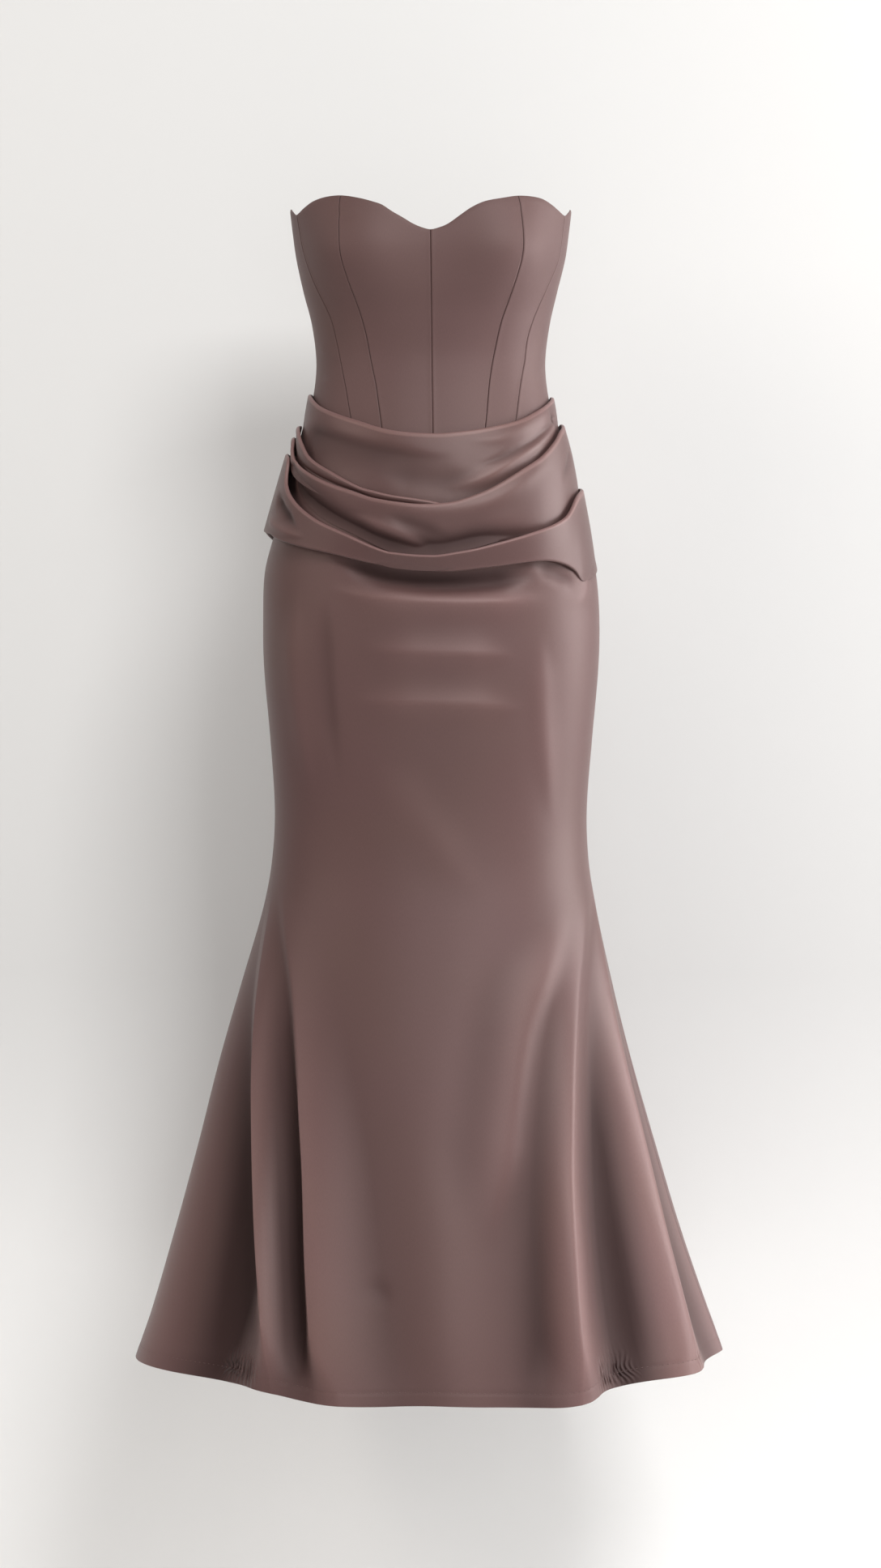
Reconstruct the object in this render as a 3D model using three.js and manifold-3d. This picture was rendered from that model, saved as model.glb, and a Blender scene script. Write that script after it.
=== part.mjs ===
// Strapless mermaid gown, filled out, with no wearer. Millimetres, Z up, the front faces -Y.
// The origin is the middle of the waist. Angles are in degrees round Z: 0 at the centre front, + to +X.
import * as THREE from "three";
import Module from "manifold-3d";

// Driving sizes
const CLOTH = 2.0; // wall of a bodice, skirt or sash piece
const SEAM = 0.3; // gap left between two pieces
const WAIST_JOIN = -112; // height where the bodice meets the skirt, under the sash
const ROUND = 2.25; // exponent of the body section, 2 is an ellipse
const CUP = { angle: 42, spread: 21, height: 112, above: 60, below: 50, depth: 15 };

// The body form the cloth follows: half widths and depths at each height
const FORM = [
  { z: 185, left: 158, right: 158, front: 96, back: 97 },
  { z: 165, left: 156, right: 156, front: 101, back: 99 },
  { z: 140, left: 153, right: 153, front: 105, back: 100 },
  { z: 112, left: 149, right: 149, front: 107, back: 98 },
  { z: 75, left: 141, right: 140, front: 103, back: 93 },
  { z: 40, left: 132, right: 132, front: 95, back: 87 },
  { z: 0, left: 127, right: 127, front: 89, back: 84 },
  { z: -32, left: 129, right: 129, front: 91, back: 88 },
  { z: -70, left: 137, right: 137, front: 98, back: 97 },
  { z: -110, left: 149, right: 149, front: 106, back: 110 },
  { z: -150, left: 161, right: 161, front: 112, back: 121 },
  { z: -195, left: 174, right: 174, front: 117, back: 129 },
  { z: -235, left: 184, right: 183, front: 119, back: 131 },
  { z: -285, left: 186, right: 187, front: 120, back: 129 },
  { z: -340, left: 185, right: 186, front: 120, back: 124 },
  { z: -420, left: 178, right: 179, front: 118, back: 115 },
  { z: -500, left: 173, right: 173, front: 115, back: 110 },
  { z: -555, left: 176, right: 175, front: 117, back: 113 },
  { z: -600, left: 184, right: 182, front: 123, back: 120 },
  { z: -690, left: 208, right: 202, front: 141, back: 142 },
  { z: -780, left: 232, right: 223, front: 161, back: 168 },
  { z: -870, left: 253, right: 246, front: 182, back: 194 },
  { z: -960, left: 275, right: 270, front: 204, back: 221 },
  { z: -1050, left: 299, right: 298, front: 225, back: 247 },
  { z: -1105, left: 317, right: 317, front: 236, back: 262 },
  { z: -1135, left: 325, right: 325, front: 241, back: 270 },
];

// Folds of the flared skirt, in order round it: how crisp each line is on its left and on its right
// (0 is soft, 1 is sharp), and its angle and how far it stands out at each of the heights
const HEM = -1120;
const FOLD_HEIGHTS = [-1120, -1000, -860, -700, -590];
const FOLD_KINK = 1.7; // how steeply the cloth leaves a sharp fold
const FOLDS = [
  { name: "back ridge", left: 0, right: 0, angles: [-184, -184, -183, -182, -182], out: [13, 10, 7, 2, 0] },
  { name: "left rear valley", left: 0, right: 0, angles: [-163, -163, -163, -162, -162], out: [-16, -13, -9, -4, 0] },
  { name: "left rear ridge", left: 0, right: 0.2, angles: [-141, -142, -143, -146, -147], out: [16, 12, 7, 3, 0] },
  { name: "left back valley", left: 0, right: 0, angles: [-119, -120, -123, -127, -128], out: [-18, -15, -10, -4, 0] },
  { name: "left back ridge", left: 0, right: 0, angles: [-100, -102, -105, -109, -111], out: [8, 6, 3, 1, 0] },
  { name: "left flare", left: 0, right: 0, angles: [-79, -82, -86, -91, -96], out: [12, 9, 5, 2, 0] },
  { name: "left valley", left: 0, right: 0.2, angles: [-55, -54.5, -63.5, -76, -83], out: [-25, -32, -24, -7, 0] },
  { name: "left outer ridge", left: 0.7, right: 0.2, angles: [-38, -44.8, -55.2, -68.3, -77], out: [9, 11, 7, 3, 0] },
  { name: "left pinch", left: 0, right: 0.1, angles: [-32, -37.5, -45, -57.5, -72.5], out: [-10, -20, -15, -4, 0] },
  { name: "left inner ridge", left: 0.6, right: 0, angles: [-27, -32.3, -39.8, -53, -68.5], out: [11, 12, 9, 3, 0] },
  { name: "left front valley", left: 0, right: 0, angles: [-12, -17.5, -24.5, -38.5, -46], out: [-4, -5, -4, -1, 0] },
  { name: "front swell", left: 0, right: 0, angles: [6, 4, 4, 12, 20], out: [3, 2, 1, 0, 0] },
  { name: "right soft valley", left: 0, right: 0, angles: [28, 29.5, 34, 47, 62], out: [-6, -6, -4.5, -1.5, 0] },
  { name: "right ridge", left: 0, right: 0.6, angles: [35.4, 37.4, 43.6, 57.5, 75], out: [18, 17, 11, 4, 0] },
  { name: "right valley", left: 0, right: 0, angles: [51.5, 54.5, 59.5, 68, 81], out: [-34, -36, -27, -8, 0] },
  { name: "right outer ridge", left: 0.1, right: 0.4, angles: [65.5, 68.5, 72.5, 77, 86], out: [13, 11, 6, 1, 0] },
  { name: "right side notch", left: 0, right: 0, angles: [76.5, 78, 80.5, 84, 92], out: [-7, -8, -6, -2, 0] },
  { name: "right back ridge", left: 0, right: 0, angles: [94, 96, 99, 103, 108], out: [12, 9, 6, 2, 0] },
  { name: "right back valley", left: 0, right: 0, angles: [121, 122, 123, 126, 129], out: [-18, -15, -10, -4, 0] },
  { name: "right rear ridge", left: 0.2, right: 0, angles: [139, 140, 142, 145, 147], out: [15, 12, 8, 3, 0] },
  { name: "right rear valley", left: 0, right: 0, angles: [158, 158, 160, 162, 164], out: [-15, -12, -8, -3, 0] },
  { name: "back ridge", left: 0, right: 0, angles: [176, 176, 177, 178, 178], out: [13, 10, 7, 2, 0] },
];

// Soft cross folds of the column: height, angle of the middle, half height, half width, depth
const CREASES = [
  { name: "under the sash", z: -250, at: 2, tall: 9, wide: 48, out: -4 },
  { name: "second ridge", z: -327, at: 3, tall: 13, wide: 40, out: 2.5 },
  { name: "second trough", z: -350, at: 3, tall: 10, wide: 44, out: -2.5 },
  { name: "third ridge", z: -381, at: 2, tall: 12, wide: 44, out: 2 },
  { name: "third trough", z: -402, at: 2, tall: 10, wide: 46, out: -2 },
  { name: "back of the sash", z: -262, at: 182, tall: 10, wide: 40, out: -3.5 },
  { name: "back trough", z: -358, at: 178, tall: 12, wide: 44, out: -2.5 },
];

// Edges that run round the dress: height at each angle
const NECK = [
  [-180, 148], [-150, 151], [-120, 159], [-96, 166], [-90, 167.5], [-83, 163], [-76, 156], [-69, 161],
  [-63, 166.5], [-56, 169.5], [-48, 169.5], [-39, 165.5], [-32, 161], [-27, 157], [-22, 150], [-16, 143],
  [-10, 136], [-4, 131.5], [0, 130], [4, 131.5], [10, 136], [18, 147], [23, 154], [30, 161],
  [39, 165.5], [47, 169], [55, 169.5], [60, 168], [65, 163.5], [70, 158.5], [76, 155], [83, 162],
  [90, 167], [96, 166], [120, 159], [150, 151], [180, 148],
];
const HEM_EDGE = [
  [-180, -1126], [-150, -1122], [-120, -1114], [-90, -1102], [-78, -1102], [-65, -1106], [-54, -1109],
  [-46, -1110], [-39, -1113], [-30, -1120], [-16, -1123], [0, -1122], [16, -1124], [30, -1126],
  [37, -1122], [43, -1115], [51, -1113], [60, -1108], [66, -1105], [74, -1101], [90, -1100],
  [120, -1112], [150, -1122], [180, -1126],
];

// Top edges of the pleats of the sash, and the bottom edge of the lowest. The thin pleat lies between
// the upper and the middle one on the left only, and its right end runs out under the middle one.
const UPPER_EDGE = [
  [-180, -62], [-140, -54], [-110, -44], [-92, -38], [-80, -42], [-65, -57], [-53, -67], [-42, -75],
  [-23, -87], [2, -91], [20, -88], [34, -83], [49, -74.5], [65, -59], [81, -45], [92, -41],
  [110, -46], [140, -55], [180, -62],
];
const THIN_EDGE = [
  [-92, -72], [-80, -78], [-69, -97], [-61, -114], [-49, -131], [-35, -149], [-28, -154], [-20, -158.5],
  [-8, -162.5], [2, -166], [10, -171], [18, -177],
];
const THIN_NEXT = [
  [-92, -86], [-79, -90], [-76, -101], [-70, -115], [-58, -132.5], [-46, -146], [-38, -153], [-27, -162],
  [-8, -168.5], [2, -172], [10, -177], [18, -183],
];
const UPPER_NEXT = [
  [-180, -112], [-140, -105], [-110, -94], [-100, -84], [-92, -74], [-80, -78], [-69, -97], [-61, -114],
  [-49, -131], [-35, -149], [-28, -154], [-20, -158.5], [-8, -162.5], [2, -165], [9, -166], [20, -160],
  [31, -149], [48, -125], [55, -115], [65, -97], [75, -81], [92, -71], [110, -80], [140, -98], [180, -112],
];
const MIDDLE_EDGE = [
  [-180, -112], [-140, -105], [-110, -95], [-100, -88], [-92, -86], [-79, -90], [-76, -101], [-70, -115],
  [-58, -132.5], [-46, -146], [-38, -153], [-27, -162], [-8, -168.5], [9, -167], [20, -160], [31, -149],
  [48, -125], [55, -115], [65, -97], [75, -81], [92, -71], [110, -80], [140, -98], [180, -112],
];
const LOWER_EDGE = [
  [-180, -152], [-140, -146], [-110, -130], [-92, -106], [-75, -112], [-73, -126], [-70, -142], [-63, -161],
  [-53, -180], [-47, -189], [-38, -200], [-26, -214.5], [-18, -221], [1, -224.5], [12, -221], [23, -215.5],
  [43, -200], [60, -181], [70, -157], [73, -146], [92, -118], [110, -124], [140, -143], [180, -152],
];
const SASH_HEM = [
  [-180, -212], [-140, -206], [-110, -198], [-92, -189], [-75, -194], [-71, -198.5], [-58, -210],
  [-42, -221], [-26, -231.5], [-8, -237], [8, -240], [29, -234.5], [50, -227], [59, -229.5], [65, -236.5],
  [69, -248], [78, -242], [92, -228], [110, -222], [140, -216], [180, -212],
];

// How far each pleat stands off the body at its top edge and at its foot, each as left side, front,
// right side and back, the level of the part that is tucked under the next pleat and its height
const PLEATS = [
  { name: "sash_upper", top: UPPER_EDGE, next: UPPER_NEXT, lip: [7, 7, 7, 6], level: 3, tuck: 12 },
  { name: "sash_thin", top: THIN_EDGE, next: THIN_NEXT, lip: [12, 8.2, 8, 9], level: 5.7, tuck: 6 },
  { name: "sash_middle", top: MIDDLE_EDGE, next: LOWER_EDGE, lip: [14, 12, 12, 10.5], level: 3, tuck: 12 },
  { name: "sash_lower", top: LOWER_EDGE, foot: SASH_HEM, lip: [15.5, 17, 11.5, 12], level: 3, keep: [13, 8, 4, 8] },
];

// Seams of the bodice: angle at each height
const PRINCESS_LEFT = [
  [-112, -26], [-84, -29], [-38, -35], [-7, -39.5], [25, -41.5], [54, -43], [100, -44.2], [126, -44.8], [170, -48.4],
];
const PRINCESS_RIGHT = [
  [-112, 29], [-84, 32.3], [-33, 38], [3, 42], [34, 43.6], [52, 44.7], [99, 45.2], [126, 45.4], [170, 47],
];
const SIDE_FRONT_LEFT = [
  [-112, -40], [-75, -46.5], [-43, -52.3], [-12, -57.6], [12, -59.9], [39, -61.3], [93, -67.9], [144, -73.5], [170, -76],
];
const SIDE_FRONT_RIGHT = [
  [-112, 43.5], [-74, 50], [-35, 56.5], [-7, 60.8], [24, 62.1], [73, 67.8], [102, 72.2], [128, 73.4], [170, 76],
];
const CENTRE_FRONT = [[-112, 1.6], [0, 0.9], [130, 0]];
const SIDE_LEFT = [[-112, -90], [170, -90]];
const SIDE_RIGHT = [[-112, 90], [170, 90]];
const BACK_LEFT = [[-112, -152], [-40, -148], [0, -145], [60, -140], [160, -134]];
const BACK_RIGHT = [[-112, 152], [-40, 148], [0, 145], [60, 140], [160, 134]];
// The lips of the closure part a little at the top, round the slider of the zip
const CENTRE_BACK_LEFT = [[-112, -180], [98, -180], [128, -179.3], [136, -179.1], [170, -179.1]];
const CENTRE_BACK_RIGHT = [[-112, 180], [98, 180], [128, 179.3], [136, 179.1], [170, 179.1]];

const BODICE = [
  { name: "bodice_centre_front_left", from: PRINCESS_LEFT, to: CENTRE_FRONT, columns: 6 },
  { name: "bodice_centre_front_right", from: CENTRE_FRONT, to: PRINCESS_RIGHT, columns: 6 },
  { name: "bodice_side_front_left", from: SIDE_FRONT_LEFT, to: PRINCESS_LEFT, columns: 5 },
  { name: "bodice_side_front_right", from: PRINCESS_RIGHT, to: SIDE_FRONT_RIGHT, columns: 5 },
  { name: "bodice_side_left", from: SIDE_LEFT, to: SIDE_FRONT_LEFT, columns: 6 },
  { name: "bodice_side_right", from: SIDE_FRONT_RIGHT, to: SIDE_RIGHT, columns: 6 },
  { name: "bodice_side_back_left", from: BACK_LEFT, to: SIDE_LEFT, columns: 6 },
  { name: "bodice_side_back_right", from: SIDE_RIGHT, to: BACK_RIGHT, columns: 6 },
  { name: "bodice_centre_back_left", from: CENTRE_BACK_LEFT, to: BACK_LEFT, columns: 5 },
  { name: "bodice_centre_back_right", from: BACK_RIGHT, to: CENTRE_BACK_RIGHT, columns: 5 },
];
const BODICE_ROWS = 11;
// The columns of a skirt piece run down the folds, with some even ones between two folds
const SKIRT = [
  { name: "skirt_front", from: -90, to: 90, columns: 48 },
  { name: "skirt_back_left", from: -180, to: -90, columns: 22 },
  { name: "skirt_back_right", from: 90, to: 180, columns: 22 },
];
const FOLD_EDGE = 5; // least angle between a fold that a column follows and the edge of the piece
const SKIRT_ROWS = [0, 2.5, 5, 9, 12.5, 15, 18, 21.3, 23.6, 26.6, 29, 34, 39, 44, 49, 55, 61, 68, 76, 84, 92, 100];
// Angles of the columns of a pleat, closer together where its edges are steep
const FRONT_COLUMNS = [
  -90, -84, -79.5, -76, -73.5, -71, -68, -64, -60, -55, -49, -42, -35, -27, -18, -9, 0, 9, 18, 27, 35, 42,
  49, 55, 60, 64.5, 69, 73, 77, 83, 90,
];
const BACK_COLUMNS = [90, 96, 102, 109, 116, 123, 130, 137, 144, 151, 158, 165, 172, 180];
const THIN_COLUMNS = [...FRONT_COLUMNS.filter((angle) => angle <= 9), 14, 18];
const SASH_PARTS = [
  { name: "front", columns: FRONT_COLUMNS },
  { name: "back_left", columns: BACK_COLUMNS.map((angle) => -angle).reverse() },
  { name: "back_right", columns: BACK_COLUMNS },
];
const PLEAT_ROWS = [0, 0.35, 0.75, 1, 2]; // share of what shows, 2 is the edge tucked under the next pleat
const LOWEST_ROWS = [0, 0.3, 0.6, 0.86, 1];

// The zip of the centre-back closure: its tape inside the cloth, its slider at the top and its pull tab
const TAPE = { top: 131, bottom: -262, half: 7, thick: 1, off: 0.8, rows: 20 };
const SLIDER = { z: 138, wide: 6, tall: 9, thick: 2.4, inside: 2.7, neck: 1.4 };
const BRIDGE = { tall: 6, reach: 3.2, bar: 0.8, leg: 1, stand: 0.3 };
const TAB = { wide: 5.6, thick: 0.8, out: 1.4, above: 0.45, window: 4.2, slot: 2.4, long: 18, foot: 7 };

const ZIP_METAL = new THREE.MeshStandardMaterial({ color: 0x5b4a49, roughness: 0.4, metalness: 0.8 });
const ZIP_TAPE = new THREE.MeshStandardMaterial({ color: 0x5d4a4a, roughness: 0.8 });
const BODICE_CLOTH = new THREE.MeshStandardMaterial({ color: 0x6a5454, roughness: 0.55 });
const SKIRT_CLOTH = new THREE.MeshStandardMaterial({ color: 0x77605f, roughness: 0.55 });
const SASH_CLOTH = new THREE.MeshStandardMaterial({ color: 0x7d6867, roughness: 0.5 });

// A smooth line through a list of [at, value] pairs, in rising order of at
function along(pairs, at) {
  const last = pairs.length - 1;
  if (at <= pairs[0][0]) return pairs[0][1];
  if (at >= pairs[last][0]) return pairs[last][1];
  let i = 0;
  while (pairs[i + 1][0] < at) i += 1;
  const slope = (k) => {
    const before = pairs[Math.max(k - 1, 0)];
    const after = pairs[Math.min(k + 1, last)];
    return (after[1] - before[1]) / (after[0] - before[0]);
  };
  const span = pairs[i + 1][0] - pairs[i][0];
  const t = (at - pairs[i][0]) / span;
  return (
    pairs[i][1] * (2 * t ** 3 - 3 * t ** 2 + 1) +
    slope(i) * span * (t ** 3 - 2 * t ** 2 + t) +
    pairs[i + 1][1] * (-2 * t ** 3 + 3 * t ** 2) +
    slope(i + 1) * span * (t ** 3 - t ** 2)
  );
}

const rising = [...FORM].reverse();
const sizes = {
  left: rising.map((row) => [row.z, row.left]),
  right: rising.map((row) => [row.z, row.right]),
  front: rising.map((row) => [row.z, row.front]),
  back: rising.map((row) => [row.z, row.back]),
};

function wrapped(angle) {
  return ((angle + 540) % 360) - 180;
}

function bump(x) {
  return Math.exp(-x * x);
}

function cup(angle, z) {
  const tall = z > CUP.height ? CUP.above : CUP.below;
  return CUP.depth * bump((Math.abs(wrapped(angle)) - CUP.angle) / CUP.spread) * bump((z - CUP.height) / tall);
}

function downFold(values, z) {
  return along(FOLD_HEIGHTS.map((height, k) => [height, values[k]]), z);
}

// Between two neighbouring folds the cloth runs from one line to the other
function flutes(angle, z) {
  const start = downFold(FOLDS[0].angles, z);
  const turned = start + ((((angle - start) % 360) + 360) % 360);
  for (let k = 0; k + 1 < FOLDS.length; k += 1) {
    const first = downFold(FOLDS[k].angles, z);
    const last = downFold(FOLDS[k + 1].angles, z);
    if (turned < first || turned > last) continue;
    const low = downFold(FOLDS[k].out, z);
    const rise = downFold(FOLDS[k + 1].out, z) - low;
    const t = (turned - first) / (last - first);
    const leave = FOLD_KINK * FOLDS[k].right * rise * (t ** 3 - 2 * t ** 2 + t);
    const arrive = FOLD_KINK * FOLDS[k + 1].left * rise * (t ** 3 - t ** 2);
    return low + rise * (3 * t ** 2 - 2 * t ** 3) + leave + arrive;
  }
  return 0;
}

function folds(angle, z) {
  let out = flutes(angle, z);
  for (const crease of CREASES) {
    out += crease.out * bump(wrapped(angle - crease.at) / crease.wide) * bump((z - crease.z) / crease.tall);
  }
  return out;
}

// Distance of the outer face of the cloth from the Z axis
function radius(angle, z) {
  const turn = THREE.MathUtils.degToRad(angle);
  const side = Math.sin(turn) < 0 ? along(sizes.left, z) : along(sizes.right, z);
  const depth = Math.cos(turn) > 0 ? along(sizes.front, z) : along(sizes.back, z);
  const section = (Math.abs(Math.cos(turn)) / depth) ** ROUND + (Math.abs(Math.sin(turn)) / side) ** ROUND;
  return section ** (-1 / ROUND) + cup(angle, z) + folds(angle, z);
}

function point(angle, z, out) {
  const turn = THREE.MathUtils.degToRad(angle);
  const r = radius(angle, z) + out;
  return new THREE.Vector3(r * Math.sin(turn), -r * Math.cos(turn), z);
}

// The point at (angle, z) on the body, and the direction that leads straight out of it
function outward(angle, z) {
  const across = point(angle + 0.5, z, 0).sub(point(angle - 0.5, z, 0));
  const up = point(angle, z + 2, 0).sub(point(angle, z - 2, 0));
  return across.cross(up).normalize();
}

// A closed wall from a grid of outer points and the points straight inside them
function wall(name, cloth, columns, rows, place) {
  const positions = [];
  const faces = [];
  const stride = columns + 1;
  const layer = stride * (rows + 1);
  for (const inside of [false, true]) {
    for (let j = 0; j <= rows; j += 1) {
      for (let i = 0; i <= columns; i += 1) {
        const pair = place(i / columns, j);
        const at = inside ? pair.inner : pair.outer;
        positions.push(at.x, at.y, at.z);
      }
    }
  }
  const quad = (a, b, c, d) => faces.push(a, b, c, a, c, d);
  for (let j = 0; j < rows; j += 1) {
    for (let i = 0; i < columns; i += 1) {
      const a = j * stride + i;
      quad(a, a + stride, a + stride + 1, a + 1);
      quad(layer + a, layer + a + 1, layer + a + stride + 1, layer + a + stride);
    }
  }
  for (let i = 0; i < columns; i += 1) {
    const low = rows * stride + i;
    quad(i, i + 1, layer + i + 1, layer + i);
    quad(low + 1, low, layer + low, layer + low + 1);
  }
  for (let j = 0; j < rows; j += 1) {
    const start = j * stride;
    const end = start + columns;
    quad(start + stride, start, layer + start, layer + start + stride);
    quad(end, end + stride, layer + end + stride, layer + end);
  }
  const geometry = new THREE.BufferGeometry();
  geometry.setAttribute("position", new THREE.Float32BufferAttribute(positions, 3));
  geometry.setIndex(faces);
  geometry.computeVertexNormals();
  const mesh = new THREE.Mesh(geometry, cloth);
  mesh.name = name;
  return mesh;
}

// Half the seam gap, as an angle
function seam(angle, z) {
  return THREE.MathUtils.radToDeg(SEAM / 2 / radius(angle, z));
}

function clothAt(angle, z) {
  const outer = point(angle, z, 0);
  return { outer, inner: outer.clone().addScaledVector(outward(angle, z), -CLOTH) };
}

function bodicePanel({ name, from, to, columns }) {
  const place = (across, row) => {
    let z = 60;
    let angle = 0;
    for (let turn = 0; turn < 4; turn += 1) {
      const start = along(from, z);
      const end = along(to, z);
      angle = start + seam(start, z) + (end - start - 2 * seam(start, z)) * across;
      z = along(NECK, angle) + (WAIST_JOIN + SEAM / 2 - along(NECK, angle)) * (row / BODICE_ROWS);
    }
    return clothAt(angle, z);
  };
  return wall(name, BODICE_CLOTH, columns, BODICE_ROWS, place);
}

// Columns of a skirt piece: which fold line each leaves, the one it leads to and its share of the way
function skirtColumns({ from, to, columns }) {
  const followed = FOLDS.filter(({ angles }) => Math.min(...angles) > from + FOLD_EDGE && Math.max(...angles) < to - FOLD_EDGE);
  const lines = [from, ...followed, to].map((line) => (z) => (line.angles ? downFold(line.angles, z) : line));
  const spans = lines.slice(1).map((line, k) => 0.6 * (line(HEM) - lines[k](HEM)) + 0.4 * (line(-590) - lines[k](-590)));
  const total = spans.reduce((sum, span) => sum + span, 0);
  const places = [];
  spans.forEach((span, k) => {
    const steps = Math.max(2, Math.round((columns * span) / total));
    for (let step = 0; step < steps; step += 1) places.push({ first: lines[k], last: lines[k + 1], share: step / steps });
  });
  places.push({ first: lines.at(-1), last: lines.at(-1), share: 0 });
  return places;
}

function skirtPanel(panel) {
  const places = skirtColumns(panel);
  const last = places.length - 1;
  const top = WAIST_JOIN - SEAM / 2;
  const place = (across, row) => {
    const column = places[Math.round(across * last)];
    const share = SKIRT_ROWS[row] / 100;
    const at = (z) => column.first(z) + (column.last(z) - column.first(z)) * column.share;
    const level = top + (HEM - top) * share;
    const z = top + (along(HEM_EDGE, at(HEM)) - top) * share;
    const middle = at(level);
    return clothAt(middle + seam(middle, z) * (1 - 2 * across), z);
  };
  return wall(panel.name, SKIRT_CLOTH, last, SKIRT_ROWS.length - 1, place);
}

function roundDress([left, front, right, back], angle) {
  const pairs = [[-180, back], [-110, (left + back) / 2], [-85, left], [-60, left], [-10, front], [45, front],
    [75, right], [95, right], [180, back]];
  return along(pairs, angle);
}

// A pleat stands off at its top edge and falls back under the next one; the lowest keeps off to its foot
function pleatOffset(pleat, angle, share) {
  const lip = roundDress(pleat.lip, angle);
  if (pleat.foot) {
    const keep = lip + (roundDress(pleat.keep, angle) - lip) * share;
    return share < 0.9 ? keep : Math.min(keep, pleat.level + 0.5);
  }
  const fall = 0.2 + 0.8 * Math.cos((Math.min(share, 1) * Math.PI) / 2) ** 0.8;
  return pleat.level + (lip - pleat.level) * (share > 1 ? 0 : fall);
}

function pleatPart(pleat, part) {
  const rows = pleat.foot ? LOWEST_ROWS : PLEAT_ROWS;
  const last = part.columns.length - 1;
  const place = (across, row) => {
    const share = rows[row];
    const middle = part.columns[Math.round(across * last)];
    const top = along(pleat.top, middle);
    const end = along(pleat.foot ?? pleat.next, middle);
    const z = share > 1 ? end - pleat.tuck : top + (end - top) * share;
    const angle = middle + seam(middle, z) * (1 - 2 * across);
    const outer = point(angle, z, pleatOffset(pleat, middle, share));
    return { outer, inner: outer.clone().addScaledVector(outward(angle, z), -CLOTH) };
  };
  return wall(`${pleat.name}_${part.name}`, SASH_CLOTH, last, rows.length - 1, place);
}

function zipTape() {
  const place = (across, row) => {
    const z = TAPE.top + (TAPE.bottom - TAPE.top) * (row / TAPE.rows);
    const half = THREE.MathUtils.radToDeg(TAPE.half / radius(180, z));
    const angle = 180 - half + 2 * half * across;
    const on = point(angle, z, 0);
    const inward = outward(angle, z).negate();
    return {
      outer: on.clone().addScaledVector(inward, CLOTH + TAPE.off),
      inner: on.clone().addScaledVector(inward, CLOTH + TAPE.off + TAPE.thick),
    };
  };
  return wall("zip_tape", ZIP_TAPE, 4, TAPE.rows, place);
}

const manifold = await Module();
manifold.setup();

// A box from two opposite corners
function block(low, high) {
  const size = high.map((value, axis) => value - low[axis]);
  return manifold.Manifold.cube(size).translate(low);
}

function meshOf(name, solid, material) {
  const made = solid.getMesh();
  const geometry = new THREE.BufferGeometry();
  geometry.setAttribute("position", new THREE.BufferAttribute(made.vertProperties, 3));
  geometry.setIndex(new THREE.BufferAttribute(made.triVerts, 1));
  geometry.computeVertexNormals();
  const mesh = new THREE.Mesh(geometry, material);
  mesh.name = name;
  return mesh;
}

// The slider's body lies inside the cloth; its neck comes out between the lips and ends in a bridge
function zipSlider() {
  const cloth = radius(180, SLIDER.z);
  const { z, wide, tall, thick, inside, neck } = SLIDER;
  const half = BRIDGE.tall / 2;
  const body = block(
    [-wide / 2, cloth - inside - thick, z - tall / 2],
    [wide / 2, cloth - inside, z + tall / 2],
  );
  const stem = block([-neck / 2, cloth - inside - 0.5, z - half], [neck / 2, cloth + BRIDGE.reach, z + half]);
  const hole = block(
    [-neck, cloth + BRIDGE.stand, z - half + BRIDGE.leg],
    [neck, cloth + BRIDGE.reach - BRIDGE.bar, z + half - BRIDGE.leg],
  );
  return meshOf("zip_slider", body.add(stem.subtract(hole)), ZIP_METAL);
}

// The tab hangs on the bridge by the bar above its window
function zipPullTab() {
  const cloth = radius(180, SLIDER.z);
  const outline = new THREE.Shape();
  outline.moveTo(-TAB.wide / 2, TAB.above);
  outline.lineTo(-TAB.foot / 2, -TAB.long + TAB.foot / 2);
  outline.absarc(0, -TAB.long + TAB.foot / 2, TAB.foot / 2, Math.PI, 2 * Math.PI, false);
  outline.lineTo(TAB.wide / 2, TAB.above);
  outline.closePath();
  const window = new THREE.Path();
  window.moveTo(-TAB.slot / 2, -TAB.above);
  window.lineTo(TAB.slot / 2, -TAB.above);
  window.lineTo(TAB.slot / 2, -TAB.window);
  window.lineTo(-TAB.slot / 2, -TAB.window);
  window.closePath();
  outline.holes.push(window);
  const geometry = new THREE.ExtrudeGeometry(outline, { depth: TAB.thick, bevelEnabled: false, curveSegments: 10 });
  geometry.rotateX(Math.PI / 2);
  geometry.translate(0, cloth + TAB.out + TAB.thick / 2, SLIDER.z);
  const mesh = new THREE.Mesh(geometry, ZIP_METAL);
  mesh.name = "zip_pull_tab";
  return mesh;
}

const gown = new THREE.Group();
gown.name = "strapless_gown";
for (const panel of BODICE) gown.add(bodicePanel(panel));
for (const panel of SKIRT) gown.add(skirtPanel(panel));
for (const pleat of PLEATS) {
  const parts = pleat.top === THIN_EDGE ? [{ name: "front", columns: THIN_COLUMNS }] : SASH_PARTS;
  for (const part of parts) gown.add(pleatPart(pleat, part));
}
gown.add(zipTape());
gown.add(zipSlider());
gown.add(zipPullTab());
export default gown;
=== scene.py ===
import math

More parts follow.
